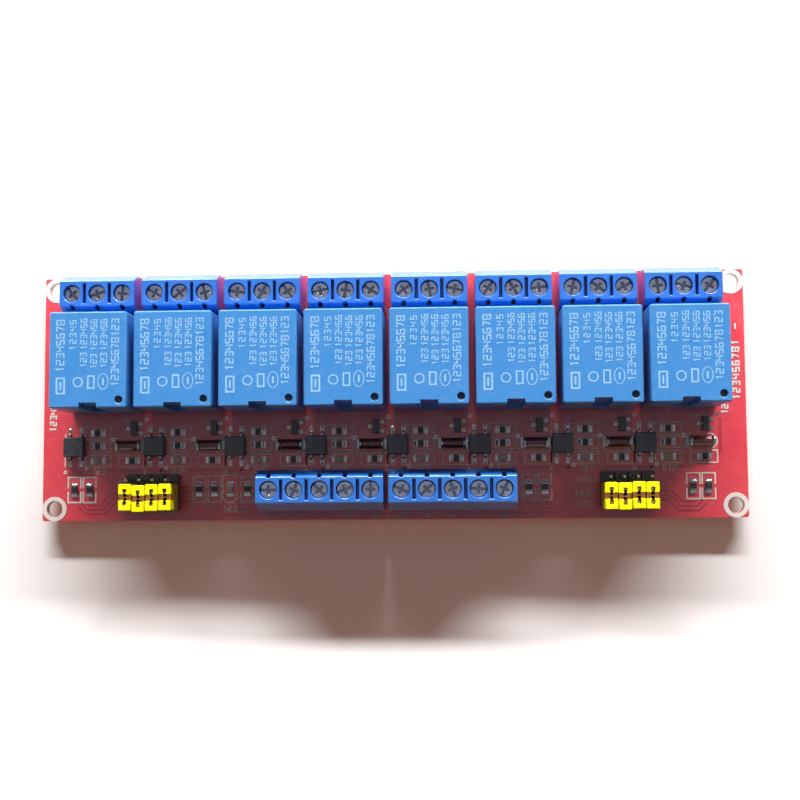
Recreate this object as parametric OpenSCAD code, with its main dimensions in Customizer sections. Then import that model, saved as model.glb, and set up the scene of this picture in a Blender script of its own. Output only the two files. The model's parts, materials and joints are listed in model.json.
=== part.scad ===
// Eight-channel relay module board.
// Eight sealed relays stand in a row on one circuit board. Each has a three-way output terminal block
// behind it, and an optocoupler, a transistor, a flyback diode, three resistors and a lamp in front of
// it. Ten input ways in two blocks, and two groups of trigger jumpers, line the front edge.
// Origin: middle of the board, on the plane that the longest pins stand on. +X runs along the row of
// relays, +Y from the input edge to the output edge, +Z up from the solder side.

/* [Board] */
// Thickness of the circuit board
board_t = 1.6; // [1:0.1:2.4]
// Reach of the longest pins below the board
lead_out = 2.0; // [1.4:0.1:3.2]
// Board left free at each end of the row of channels
end_margin = 5.3; // [4.7:0.1:9]
// Board left free in front of the input blocks
front_margin = 1.95; // [0.6:0.05:6]
// Board left free behind the output blocks
back_margin = 0.65; // [0.4:0.05:6]
// Depth of the strip of small parts between the input blocks and the relays
parts_strip_d = 12.2; // [11.8:0.1:16]
// Radius of the board's corners
board_corner_r = 0.4; // [0.2:0.1:2]
// Radius of the mounting holes
mount_hole_r = 1.6; // [1.1:0.05:1.75]
// Distance from the board's edges to the centre of each mounting hole
mount_inset = 2.5; // [2.2:0.1:2.8]
// Height of the solder round a pin under the board
solder_h = 1.1; // [0.5:0.05:1.2]
// Reach of the solder past a pin's corners
solder_spread = 0.5; // [0.3:0.05:0.6]

/* [Relays] */
// Width of a relay's cover
relay_w = 15.5; // [14:0.1:18]
// Depth of a relay's cover
relay_d = 19.1; // [18:0.1:22]
// Height of a relay's top over the board
relay_h = 15.5; // [12:0.1:20]
// Height of the base's feet, which hold the cover off the board
relay_foot_h = 0.3; // [0.2:0.05:1]
// Width of the base's feet
relay_foot_w = 1.2; // [0.6:0.1:1.4]
// Thickness of the cover's skirt round the base
relay_skirt_t = 0.9; // [0.6:0.05:1.6]
// Thickness of the base
relay_base_t = 1.4; // [1:0.1:2.4]
// Radius of the cover's upright corners
relay_corner_r = 0.7; // [0.3:0.05:1.5]
// Radius of the edges round the cover's top
relay_top_r = 0.45; // [0.2:0.05:1]
// Width of the key slot in the cover's front wall
key_slot_w = 3.4; // [2:0.1:5]
// Depth of the key slot in the cover's front wall
key_slot_d = 1.0; // [0.5:0.05:1.6]
// Height of the key slot's sill over the base
key_slot_sill = 1.2; // [0.6:0.1:4]
// Radius of the vent hole in the cover's top
vent_r = 0.75; // [0.4:0.05:1]
// Distance from the cover's walls to the centre of the vent hole
vent_inset = 1.6; // [1.4:0.05:3]
// Depth of the vent hole
vent_depth = 0.7; // [0.3:0.05:1.5]
// Smallest gap between two relays
relay_gap = 1.25; // [0.6:0.05:4]
// Gap between a relay and the output block behind it
relay_to_block = 0.5; // [0.3:0.05:3]
// Distance from the relay's front wall to its common contact pin
common_pin_y = 1.7; // [1.5:0.1:4]
// Distance from the common pin back to the two coil pins
coil_pin_y = 2.0; // [1.4:0.1:5]
// Distance from the relay's back wall to its two throw pins
throw_pin_y = 3.2; // [1.6:0.1:6]
// Distance from the relay's side walls to its coil pins and throw pins
side_pin_x = 1.75; // [1.55:0.05:4]
// Width of a relay's contact pins
contact_pin_w = 1.0; // [0.6:0.05:1.2]
// Thickness of a relay's pins
relay_pin_t = 0.5; // [0.3:0.05:0.7]
// Width of a relay's coil pins
coil_pin_w = 0.6; // [0.4:0.05:1]
// Reach of a relay's pins into its base
relay_pin_grip = 0.8; // [0.4:0.05:1.2]

/* [Terminal blocks] */
// Distance from one way of a block to the next
pole_pitch = 5.08; // [4.8:0.01:6.5]
// Depth of a block from its wire side to its back
block_d = 8.1; // [7.6:0.1:11]
// Height of a block over the board
block_h = 10; // [9:0.1:15]
// Depth of the flat top of a block
block_top_d = 5.15; // [4.4:0.05:6]
// Distance from the wire side of a block to its screws
screw_y = 4.1; // [3.7:0.05:4.4]
// Height at which the wire side starts to lean in
front_shoulder_h = 6.4; // [5:0.1:8]
// Height at which the back starts to lean in
back_shoulder_h = 7.0; // [5:0.1:8]
// Gap between the two input blocks
input_block_gap = 1.0; // [0.4:0.05:4]
// Smallest gap between two output blocks
output_block_gap = 0.4; // [0.2:0.05:4]
// Width of the wire entries
entry_w = 3.4; // [2.6:0.05:3.9]
// Height of the wire entries
entry_h = 3.6; // [3:0.05:4.4]
// Rise of the arch over a wire entry
entry_arch = 0.7; // [0.3:0.05:1.3]
// Height of the space for a wire under the contact tongue
wire_h = 2.7; // [2:0.05:3.2]
// Width of the slots between the screws
slot_w = 0.65; // [0.3:0.05:0.9]
// Length of the slots between the screws
slot_l = 4.0; // [2:0.1:4.4]
// Depth of the slots between the screws
slot_depth = 2.0; // [0.8:0.1:3]
// Radius of the half-round notches in the back
notch_r = 0.45; // [0.2:0.05:0.8]
// Length of the half-round notches in the back
notch_l = 4.2; // [2:0.1:6]
// Thickness of a block's floor under the clamps
block_floor_t = 0.45; // [0.3:0.05:0.8]
// Thickness of the roof between the clamps and the screws' heads
block_roof_t = 0.5; // [0.3:0.05:1]
// Depth of the screws' heads below the top
screw_recess = 0.8; // [0.2:0.05:1.4]
// Radius of the screws' heads
screw_head_r = 1.6; // [1.4:0.05:1.9]
// Height of the screws' heads
screw_head_h = 1.2; // [0.8:0.05:1.6]
// Radius of the screws' shanks
screw_shank_r = 1.2; // [0.8:0.05:1.35]
// Width of the slots in the screws' heads
driver_slot_w = 0.55; // [0.3:0.05:0.8]
// Depth of the slots in the screws' heads
driver_slot_depth = 0.6; // [0.3:0.05:0.9]
// Width of the clamps that draw the wires up
clamp_w = 3.8; // [3.3:0.05:4.3]
// Depth of the clamps
clamp_d = 3.6; // [3:0.05:3.8]
// Thickness of the clamps' walls
clamp_t = 0.5; // [0.35:0.05:0.6]
// Thickness of the clamps' tops, which the screws run through
clamp_top_t = 1.0; // [0.6:0.05:1.5]
// Thickness of the contact tongues and of the pins under them
tongue_t = 0.6; // [0.4:0.05:0.9]
// Width of the terminal pins
block_pin_w = 1.0; // [0.6:0.05:1.3]

/* [Trigger jumpers] */
// Distance between the rows of a header's pins
pin_pitch = 2.54; // [2.4:0.01:3]
// Gap between one jumper cap and the next
cap_gap = 0.1; // [0.05:0.01:1]
// Width of a header's body
header_w = 2.5; // [2:0.05:2.6]
// Height of a header's body
header_h = 2.5; // [1.5:0.1:3]
// Cut at the corners of each way of a header
header_corner = 0.4; // [0.2:0.05:0.7]
// Side of the square header pins
header_pin_s = 0.64; // [0.4:0.02:0.7]
// Height of the header pins over the board
header_pin_h = 8.0; // [7:0.1:11]
// Length of the taper at each end of a header pin
pin_tip = 0.3; // [0.1:0.05:0.6]
// Width of a jumper cap
cap_w = 2.6; // [2.3:0.02:3]
// Length of a jumper cap
cap_l = 5.4; // [5.2:0.05:6.4]
// Thickness of a jumper cap's end walls
cap_wall = 0.55; // [0.4:0.05:0.6]
// Thickness of a jumper cap's roof
cap_roof = 0.5; // [0.3:0.05:1]
// Radius of a jumper cap's upright corners
cap_corner_r = 0.35; // [0.2:0.05:0.5]
// Radius of the edges round a jumper cap's top
cap_top_r = 0.25; // [0.1:0.05:0.4]
// Length of the windows in a jumper cap's sides
cap_window_l = 1.25; // [0.9:0.05:1.6]
// Height of a jumper cap's sides below their windows
cap_sill = 3.6; // [2:0.1:4]
// Thickness of the spring clip inside a jumper cap
clip_t = 0.18; // [0.1:0.01:0.25]

/* [Small parts] */
// Side of an optocoupler's body across the channel
opto_w = 4.4; // [4:0.1:4.8]
// Side of an optocoupler's body between its rows of leads
opto_d = 4.1; // [3.6:0.1:4.6]
// Height of an optocoupler
opto_h = 2.1; // [1.6:0.1:3]
// Distance between an optocoupler's leads in one row
opto_lead_pitch = 2.3; // [1.6:0.1:3]
// Width of an optocoupler's leads
opto_lead_w = 0.5; // [0.3:0.05:0.8]
// Length of an optocoupler's leads in plan
opto_lead_l = 1.65; // [1.2:0.05:2]
// Height of the optocoupler's mould parting, where its leads come out
opto_parting = 0.9; // [0.6:0.05:1.3]
// Thickness of the optocouplers' and transistors' leads
lead_t = 0.15; // [0.1:0.01:0.25]
// Length of a transistor's body
transistor_l = 2.9; // [2.6:0.1:3.4]
// Width of a transistor's body
transistor_w = 1.4; // [1.2:0.1:1.8]
// Height of a transistor
transistor_h = 1.05; // [0.8:0.05:1.5]
// Distance between the two leads on one side of a transistor
transistor_lead_pitch = 1.9; // [1.4:0.1:2.2]
// Width of a transistor's leads
transistor_lead_w = 0.4; // [0.25:0.05:0.6]
// Length of a transistor's leads in plan
transistor_lead_l = 0.55; // [0.4:0.05:0.8]
// Height of the transistor's mould parting, where its leads come out
transistor_parting = 0.5; // [0.35:0.05:0.7]
// Length of a flyback diode
diode_l = 5.0; // [4.4:0.1:5.6]
// Radius of a flyback diode's end caps
diode_r = 1.15; // [0.8:0.05:1.4]
// Length of a flyback diode's end caps
diode_cap_l = 0.5; // [0.3:0.05:0.8]
// Step from a flyback diode's end caps down to its body
diode_step = 0.1; // [0.05:0.01:0.3]
// Length of a chip resistor
chip_l = 2.0; // [1.6:0.05:2.4]
// Width of a chip resistor
chip_w = 1.25; // [0.8:0.05:1.6]
// Height of a chip resistor
chip_h = 0.55; // [0.35:0.05:0.9]
// Length of a chip resistor's end caps
chip_cap_l = 0.42; // [0.2:0.02:0.7]
// Thickness of a chip resistor's end caps
chip_cap_t = 0.05; // [0.03:0.01:0.1]
// Height of a lamp over the board
lamp_h = 0.85; // [0.6:0.05:1.2]
// Height of a lamp's base
lamp_base_h = 0.3; // [0.2:0.05:0.4]
// Length of a lamp's lens
lamp_lens_l = 1.36; // [1:0.02:1.6]

/* [Places of the small parts] */
// Upper row of chips, in front of the relays
upper_row_y = 4.1; // [3:0.05:5]
// Middle row of chips and the diodes, in front of the relays
middle_row_y = 6.8; // [6:0.05:7.6]
// Lower row of chips and lamps, in front of the relays
lower_row_y = 9.85; // [9:0.05:10.8]
// Optocouplers, in front of the relays
opto_y = 7.0; // [6.2:0.05:7.6]
// Transistors, in front of the relays
transistor_y = 3.2; // [2.4:0.05:3.8]
// Optocouplers, inwards from the left side of each channel
opto_in = 1.5; // [1.2:0.05:2]
// Left column of chips and the lamps, left of the middle of each channel
chip_x = 2.2; // [1.4:0.05:3]
// Diodes, inwards from the right side of each channel
diode_in = 3.9; // [3.5:0.05:5]
// Transistors, inwards from the right side of each channel
transistor_in = 3.0; // [2:0.05:5]
// Driver chips, inwards from the right side of each channel
driver_chip_in = 3.3; // [2.4:0.05:6]
// Row of chips and the power lamp beside the input blocks, from the blocks' wire side
front_row_in = 4.45; // [3.6:0.05:6]
// Middle of the pair of input blocks, left of the board's middle
input_pair_x = 0.5; // [-2:0.1:2]
// Middle of each group of headers, outwards from the input blocks
header_group_out = 22.5; // [20:0.1:24]
// Power lamp, outwards from the left input block
power_lamp_out = 6.8; // [5.4:0.1:8]

/* [Hidden] */
$fn = 32;
channels = 8;
input_ways = channels + 2;
output_ways = 3;

// Clearances
fit = 0.05;         // round a part that drops into its seat
slide = 0.15;       // round a clamp in its chamber and a screw in its hole
pin_fit = 0.02;     // round a pin in its plastic or its solder
hole_fit = 0.1;     // between a pin's corners and its hole in the board
short_tail = 0.2;   // from the ends of the shorter pins to the ends of the longest

// Marks and draft of the moulded resin bodies
dot_r = 0.35;
dot_depth = 0.12;
body_draft = 0.2;

// Plan of the board, worked out from what stands on it
output_block_w = output_ways * pole_pitch;
input_block_w = input_ways / 2 * pole_pitch;
channel_pitch = max(relay_w + relay_gap, output_block_w + output_block_gap);
board_w = channels * channel_pitch + 2 * end_margin;
board_d = front_margin + block_d + parts_strip_d + relay_d + relay_to_block + block_d + back_margin;
board_top = lead_out + board_t;
front_y = -board_d / 2 + front_margin;
input_y = front_y + screw_y;
output_y = board_d / 2 - back_margin - screw_y;
relay_front_y = front_y + block_d + parts_strip_d;
relay_y = relay_front_y + relay_d / 2;
front_row_y = front_y + front_row_in;

opto_x = channel_pitch / 2 - opto_in;
diode_x = channel_pitch / 2 - diode_in;
transistor_x = channel_pitch / 2 - transistor_in;
driver_chip_x = channel_pitch / 2 - driver_chip_in;

function channel_x(k) = (k - (channels - 1) / 2) * channel_pitch;
function way_x(ways, i) = (i - (ways - 1) / 2) * pole_pitch;
function input_block_x(side) = -input_pair_x + side * (input_block_w + input_block_gap) / 2;
function beside_inputs(side, out) = input_block_x(side) + side * (input_block_w / 2 + out);
function inside_end(side, in) = side * (board_w / 2 - in);

// Inside a terminal block, above the board
well_r = screw_head_r + slide;
well_floor = block_h - screw_recess - screw_head_h;
chamber_top = well_floor - block_roof_t;
chamber_w = clamp_w + 2 * slide;
chamber_front = clamp_d / 2 + 2 * slide;
entry_sill = block_floor_t + clamp_t;
tongue_z = entry_sill + wire_h;
clamp_h = tongue_z + tongue_t + slide + clamp_top_t - block_floor_t;
leg_y = clamp_d / 2 + slide;
chamber_back = leg_y + tongue_t + slide;

// Trigger jumpers: a cap rests on its header, and its roof lies just over the pins
cap_h = header_pin_h + slide + cap_roof - header_h;
header_pitch = max(cap_w, header_w) + cap_gap;
cap_chamber_w = header_pin_s + 2 * clip_t + 4 * fit;
cap_chamber_l = cap_l - 2 * cap_wall;

function header_row_y(row) = front_y + (row + 0.5) * pin_pitch;

// The left group of headers serves the first half of the channels, and the right group the rest
function header_x(k) =
    let (half = channels / 2, side = k < half ? -1 : 1)
    beside_inputs(side, header_group_out) + (k % half - (half - 1) / 2) * header_pitch;

// A cap covers a header's two front rows and sits a little to one side, as pushed on by hand
cap_slip = [0.3, 0, 0.2, 0.3, 0, -0.12, 0.1, 0.04];
function cap_y(k) = front_y + pin_pitch + cap_slip[k];

// [x, y, width] of each relay pin, from the middle of the relay's front wall
side_pin = relay_w / 2 - side_pin_x;
relay_pin_table = [
    [0, common_pin_y, contact_pin_w],
    for (x = [-side_pin, side_pin]) [x, common_pin_y + coil_pin_y, coil_pin_w],
    for (x = [-side_pin, side_pin]) [x, relay_d - throw_pin_y, contact_pin_w],
];

// [x, y, turn] of every chip resistor on the board
front_chips_out = [3.2, 10, 13.2];
right_chips_out = [2.75, 6];
left_end_chips = [6.65, 9.8];
right_end_chips = [7.9, 11];
chip_places = [
    for (k = [0 : channels - 1], at = [
        [-chip_x, -upper_row_y], [-chip_x, -middle_row_y], [driver_chip_x, -lower_row_y]
    ]) [channel_x(k) + at[0], relay_front_y + at[1], 0],
    for (out = front_chips_out) [beside_inputs(-1, out), front_row_y, 90],
    for (out = right_chips_out) [beside_inputs(1, out), front_row_y, 90],
    for (in = left_end_chips) [inside_end(-1, in), front_row_y, 90],
    for (in = right_end_chips) [inside_end(1, in), front_row_y, 90],
];

// [x, y, turn] of every lamp on the board
lamp_places = [
    for (k = [0 : channels - 1]) [channel_x(k) - chip_x, relay_front_y - lower_row_y, 0],
    [beside_inputs(-1, power_lamp_out), front_row_y, 90],
];

// [x, y, turn] of every way of every terminal block: the inputs face forwards, the outputs back
way_places = [
    for (side = [-1, 1], i = [0 : input_ways / 2 - 1])
        [input_block_x(side) + way_x(input_ways / 2, i), input_y, 0],
    for (k = [0 : channels - 1], i = [0 : output_ways - 1])
        [channel_x(k) + way_x(output_ways, i), output_y, 180],
];

// [x, y, width, thickness] of every soldered pin
pin_joints = [
    for (k = [0 : channels - 1], p = relay_pin_table)
        [channel_x(k) + p[0], relay_front_y + p[1], p[2], relay_pin_t],
    for (k = [0 : channels - 1], row = [0 : 2])
        [header_x(k), header_row_y(row), header_pin_s, header_pin_s],
    for (w = way_places)
        [w[0], w[1] + (leg_y + tongue_t / 2) * cos(w[2]), block_pin_w, tongue_t],
];
function corner_r(pin) = norm([pin[2], pin[3]]) / 2;

function numbered(name) = [for (k = [1 : channels]) str(name, "_", k)];

// ---------- shared shapes ----------

// Lifts its children from the board's top face
module on_board() {
    translate([0, 0, board_top]) children();
}

// Repeats its children at each [x, y, turn] of a list
module at_places(places) {
    on_board() for (p = places) translate([p[0], p[1], 0]) rotate(p[2]) children();
}

// Repeats its children at [x, y] from the middle of each relay's front wall
module in_channels(x, y) {
    on_board() for (k = [0 : channels - 1]) translate([channel_x(k) + x, relay_front_y + y, 0]) children();
}

module rounded_rect(w, d, r) {
    square([w - 2 * r, d], center = true);
    square([w, d - 2 * r], center = true);
    for (x = [-1, 1], y = [-1, 1]) translate([x * (w / 2 - r), y * (d / 2 - r)]) circle(r);
}

// Upright section w wide and h high, with its two top corners rounded to r
module arched_section(w, h, r) {
    translate([-w / 2, 0]) square([w, h - r]);
    translate([-w / 2 + r, 0]) square([w - 2 * r, h]);
    for (x = [-1, 1]) translate([x * (w / 2 - r), h - r]) circle(r);
}

// Upright section of a part moulded in two halves, widest at its parting line
module drafted_section(w, h, parting, draft) {
    polygon([
        [-w / 2 + draft / 2, 0], [w / 2 - draft / 2, 0], [w / 2, parting],
        [w / 2 - draft, h], [-w / 2 + draft, h], [-w / 2, parting]
    ]);
}

// Stands a drawing in the XZ plane and gives it the depth d, centred on Y
module along_y(d) {
    translate([0, d / 2, 0]) rotate([90, 0, 0]) linear_extrude(d) children();
}

// Stands a drawing in the YZ plane and gives it the length w, centred on X
module along_x(w) {
    translate([-w / 2, 0, 0]) rotate([90, 0, 90]) linear_extrude(w) children();
}

// Block with rounded upright corners and a rounded rim round its top
module moulded_cover(w, d, h, corner, rim) {
    intersection() {
        linear_extrude(h) rounded_rect(w, d, corner);
        along_y(d) arched_section(w, h, rim);
        along_x(w) arched_section(d, h, rim);
    }
}

// Body moulded in two halves: every wall leans in above and below the parting line
module moulded_body(w, d, h, parting, draft) {
    intersection() {
        along_y(d) drafted_section(w, h, parting, draft);
        along_x(w) drafted_section(d, h, parting, draft);
    }
}

// Lead that leaves a body at y = 0 and height rise, and bends down to a foot that ends at y = reach
module gull_wing(reach, rise, w) {
    knee = 0.2 * reach;
    heel = 0.45 * reach;
    along_x(w) polygon([
        [0, rise], [0, rise + lead_t], [knee + lead_t, rise + lead_t], [heel + lead_t, lead_t],
        [reach, lead_t], [reach, 0], [heel, 0], [knee, rise]
    ]);
}

// Square pin from z = low to z = high, drawn to a point at both ends
module square_pin(s, low, high) {
    module side() {
        polygon([
            [-s / 2, low + pin_tip], [-s / 4, low], [s / 4, low], [s / 2, low + pin_tip],
            [s / 2, high - pin_tip], [s / 4, high], [-s / 4, high], [-s / 2, high - pin_tip]
        ]);
    }
    intersection() {
        along_x(s) side();
        along_y(s) side();
    }
}

// ---------- board ----------

module circuit_board() {
    color("crimson") translate([0, 0, lead_out]) linear_extrude(board_t) difference() {
        rounded_rect(board_w, board_d, board_corner_r);
        for (x = [-1, 1], y = [-1, 1])
            translate([x * (board_w / 2 - mount_inset), y * (board_d / 2 - mount_inset)])
                circle(mount_hole_r);
        for (pin = pin_joints) translate([pin[0], pin[1]]) circle(corner_r(pin) + hole_fit);
    }
}

// Tinned fillets on the solder side, one round each pin
module solder_joints() {
    color("silver") for (pin = pin_joints) translate([pin[0], pin[1], 0]) difference() {
        translate([0, 0, lead_out - solder_h])
            cylinder(solder_h, corner_r(pin) + fit, corner_r(pin) + solder_spread, $fn = 20);
        linear_extrude(lead_out + 1) square([pin[2] + 2 * pin_fit, pin[3] + 2 * pin_fit], center = true);
    }
}

// ---------- relays ----------

// Sealed cover over the coil and contacts, closed below by its base
module relay_cover(k) {
    cover_h = relay_h - relay_foot_h;
    color("cornflowerblue") on_board() translate([channel_x(k), relay_y, relay_foot_h]) difference() {
        moulded_cover(relay_w, relay_d, cover_h, relay_corner_r, relay_top_r);
        translate([0, 0, -1]) linear_extrude(relay_base_t + 1)
            square([relay_w - 2 * relay_skirt_t, relay_d - 2 * relay_skirt_t], center = true);
        translate([-key_slot_w / 2, -relay_d / 2 - 1, relay_base_t + key_slot_sill])
            cube([key_slot_w, key_slot_d + 1, cover_h]);
        translate([relay_w / 2 - vent_inset, -relay_d / 2 + vent_inset, cover_h - vent_depth])
            cylinder(vent_depth + 1, vent_r, vent_r);
    }
}

// Moulded base: it closes the cover, carries the pins and stands on four feet
module relay_bases() {
    w = relay_w - 2 * relay_skirt_t - 2 * fit;
    d = relay_d - 2 * relay_skirt_t - 2 * fit;
    color("dimgray") in_channels(0, relay_d / 2) difference() {
        union() {
            translate([-w / 2, -d / 2, relay_foot_h]) cube([w, d, relay_base_t - fit]);
            for (x = [-1, 1], y = [-1, 1])
                translate([x * (w - relay_foot_w) / 2, y * (d - relay_foot_w) / 2, 0])
                    linear_extrude(relay_base_t) square(relay_foot_w, center = true);
        }
        for (pin = relay_pin_table) translate([pin[0], pin[1] - relay_d / 2, 0])
            cube([pin[2] + 2 * pin_fit, relay_pin_t + 2 * pin_fit, 2 * (relay_foot_h + relay_pin_grip)],
                center = true);
    }
}

module relay_pins() {
    color("silver") in_channels(0, 0) for (pin = relay_pin_table)
        translate([pin[0], pin[1], short_tail - board_top])
            linear_extrude(board_top - short_tail + relay_foot_h + relay_pin_grip)
                square([pin[2], relay_pin_t], center = true);
}

// ---------- terminal blocks ----------
// A block is drawn with its wire side towards -Y and its screws over y = 0

// Side view of a housing: a flat top between two leaning and two upright walls
module block_section() {
    back = block_d - screw_y;
    polygon([
        [-screw_y, 0], [back, 0], [back, back_shoulder_h], [block_top_d / 2, block_h],
        [-block_top_d / 2, block_h], [-screw_y, front_shoulder_h]
    ]);
}

// Wire entry with a low round arch, drawn in the XZ plane
module entry_section() {
    spring_h = entry_sill + entry_h - entry_arch;
    arch_r = (entry_w * entry_w / 4 + entry_arch * entry_arch) / (2 * entry_arch);
    translate([-entry_w / 2, entry_sill]) square([entry_w, entry_h - entry_arch]);
    intersection() {
        translate([-entry_w / 2, spring_h - fit]) square([entry_w, entry_arch + fit]);
        translate([0, entry_sill + entry_h - arch_r]) circle(arch_r, $fn = 64);
    }
}

// Everything that is open in one way: screw well, clamp chamber, wire entry and pin passage
module way_hollow() {
    translate([0, 0, well_floor]) cylinder(block_h, well_r, well_r);
    translate([0, 0, chamber_top - 1]) cylinder(block_h, screw_shank_r + slide, screw_shank_r + slide);
    translate([-chamber_w / 2, -chamber_front, block_floor_t])
        cube([chamber_w, chamber_front + chamber_back, chamber_top - block_floor_t]);
    translate([0, -chamber_front - screw_y / 2, 0]) along_y(screw_y + 1) entry_section();
    translate([0, leg_y + tongue_t / 2, -1]) linear_extrude(block_floor_t + 2)
        square([block_pin_w + 2 * fit, tongue_t + 2 * fit], center = true);
    translate([0, block_top_d / 2 + notch_r / 2, block_h - notch_l])
        cylinder(block_h, notch_r, notch_r);
}

module block_housing(ways) {
    color("royalblue") difference() {
        along_x(ways * pole_pitch) block_section();
        for (i = [0 : ways - 1]) translate([way_x(ways, i), 0, 0]) way_hollow();
        for (i = [0 : ways - 2]) translate([way_x(ways, i + 0.5), 0, block_h])
            cube([slot_w, slot_l, 2 * slot_depth], center = true);
    }
}

module output_block(k) {
    on_board() translate([channel_x(k), output_y, 0]) rotate(180) block_housing(output_ways);
}

module input_block(side) {
    on_board() translate([input_block_x(side), input_y, 0]) block_housing(input_ways / 2);
}

// Screw in its well: the head rests on the well's floor and the point on the contact tongue
module terminal_screw() {
    point_z = tongue_z + tongue_t;
    difference() {
        union() {
            translate([0, 0, well_floor]) cylinder(screw_head_h, screw_head_r, screw_head_r);
            translate([0, 0, point_z]) cylinder(well_floor - point_z + fit, screw_shank_r, screw_shank_r);
        }
        translate([0, 0, well_floor + screw_head_h]) {
            cube([3 * screw_head_r, driver_slot_w, 2 * driver_slot_depth], center = true);
            cube([driver_slot_w, 1.25 * screw_head_r, 2 * driver_slot_depth], center = true);
        }
    }
}

// Each screw was stopped at another angle
module terminal_screws() {
    color("lightsteelblue") on_board() for (i = [0 : len(way_places) - 1])
        translate([way_places[i][0], way_places[i][1], 0]) rotate(67 * i) terminal_screw();
}

// Square loop round the tongue: the screw draws it up, and its floor presses the wire to the tongue
module wire_clamps() {
    color("lightsteelblue") at_places(way_places) translate([0, 0, block_floor_t]) difference() {
        along_y(clamp_d) difference() {
            translate([-clamp_w / 2, 0]) square([clamp_w, clamp_h]);
            translate([-clamp_w / 2 + clamp_t, clamp_t])
                square([clamp_w - 2 * clamp_t, clamp_h - clamp_t - clamp_top_t]);
        }
        translate([0, 0, clamp_h / 2]) cylinder(clamp_h, screw_shank_r + pin_fit, screw_shank_r + pin_fit);
    }
}

// Tongue through the clamp, its leg behind the clamp, and the pin below it
module terminal_contacts() {
    tongue_w = clamp_w - 2 * clamp_t - 2 * slide;
    color("silver") at_places(way_places) {
        translate([-tongue_w / 2, -clamp_d / 2 - slide, tongue_z])
            cube([tongue_w, clamp_d / 2 + slide + leg_y + tongue_t, tongue_t]);
        translate([-tongue_w / 2, leg_y, block_floor_t + fit])
            cube([tongue_w, tongue_t, tongue_z + tongue_t - block_floor_t - fit]);
        translate([-block_pin_w / 2, leg_y, -board_top])
            cube([block_pin_w, tongue_t, board_top + block_floor_t + tongue_t]);
    }
}

// ---------- trigger jumpers ----------

// Three square ways in a row with their corners cut, as one moulding
module header_body() {
    half_w = header_w / 2;
    half_p = pin_pitch / 2;
    c = header_corner;
    linear_extrude(header_h) {
        translate([-half_w + c, front_y]) square([header_w - 2 * c, 3 * pin_pitch]);
        for (row = [0 : 2]) translate([0, header_row_y(row)]) polygon([
            [-half_w, -half_p + c], [-half_w + c, -half_p], [half_w - c, -half_p], [half_w, -half_p + c],
            [half_w, half_p - c], [half_w - c, half_p], [-half_w + c, half_p], [-half_w, half_p - c]
        ]);
    }
}

module jumper_headers() {
    bore = header_pin_s + 2 * pin_fit;
    color("dimgray") on_board() for (k = [0 : channels - 1]) translate([header_x(k), 0, 0])
        difference() {
            header_body();
            for (row = [0 : 2]) translate([0, header_row_y(row), 0])
                cube([bore, bore, 3 * header_h], center = true);
        }
}

module header_pins() {
    color("gold") for (k = [0 : channels - 1], row = [0 : 2])
        translate([header_x(k), header_row_y(row), 0])
            square_pin(header_pin_s, short_tail, board_top + header_pin_h);
}

// Slot in a cap's roof, with wider ends over the two pins
module cap_roof_slot() {
    slot_w = 0.8 * header_pin_s;
    end_w = header_pin_s + slide;
    square([slot_w, pin_pitch + end_w], center = true);
    for (y = [-1, 1]) translate([0, y * pin_pitch / 2]) square(end_w, center = true);
}

module jumper_cap(k) {
    color("gold") on_board() translate([header_x(k), cap_y(k), header_h]) difference() {
        moulded_cover(cap_w, cap_l, cap_h, cap_corner_r, cap_top_r);
        translate([0, 0, -1]) linear_extrude(cap_h - cap_roof + 1)
            square([cap_chamber_w, cap_chamber_l], center = true);
        linear_extrude(cap_h + 1) cap_roof_slot();
        translate([0, 0, cap_sill + cap_h / 2]) cube([2 * cap_w, cap_window_l, cap_h], center = true);
    }
}

// Springy bridge inside each cap: two blades along the pins, a web between them, and an ear in each
// window of the cap
module jumper_clips() {
    blade_l = cap_chamber_l - 4 * fit;
    inner = header_pin_s / 2 + fit;
    ear_out = cap_w / 2 - 2 * fit;
    ear_l = cap_window_l - 4 * fit;
    clip_h = cap_h - cap_roof - 4 * fit;
    color("chocolate") on_board() for (k = [0 : channels - 1])
        translate([header_x(k), cap_y(k), header_h]) {
            translate([0, 0, fit]) linear_extrude(clip_h) {
                for (x = [-1, 1]) translate([x * (inner + clip_t / 2), 0])
                    square([clip_t, blade_l], center = true);
                square([2 * inner + clip_t, clip_t], center = true);
            }
            translate([0, 0, cap_sill + fit]) linear_extrude(clip_h - cap_sill) for (x = [-1, 1])
                translate([x * (inner + ear_out) / 2, 0]) difference() {
                    square([ear_out - inner, ear_l], center = true);
                    square([ear_out - inner - 2 * clip_t, ear_l - 2 * clip_t], center = true);
                }
        }
}

// ---------- small parts ----------

module optocoupler(k) {
    color("darkslategray") on_board()
        translate([channel_x(k) - opto_x, relay_front_y - opto_y, 0]) difference() {
            translate([0, 0, fit]) moulded_body(opto_w, opto_d, opto_h - fit, opto_parting, body_draft);
            translate([-opto_w / 2 + 2 * dot_r, -opto_d / 2 + 2 * dot_r, opto_h - dot_depth])
                cylinder(1, dot_r, dot_r);
        }
}

module optocoupler_leads() {
    color("silver") in_channels(-opto_x, -opto_y) for (side = [0, 180]) rotate(side)
        for (x = [-1, 1]) translate([x * opto_lead_pitch / 2, opto_d / 2, 0])
            gull_wing(opto_lead_l, opto_parting, opto_lead_w);
}

// Long side across the rows of the channel, with one lead on the left and two on the right
module transistors() {
    color("darkslategray") in_channels(transistor_x, -transistor_y) translate([0, 0, fit])
        moulded_body(transistor_w, transistor_l, transistor_h - fit, transistor_parting, body_draft / 2);
}

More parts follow.
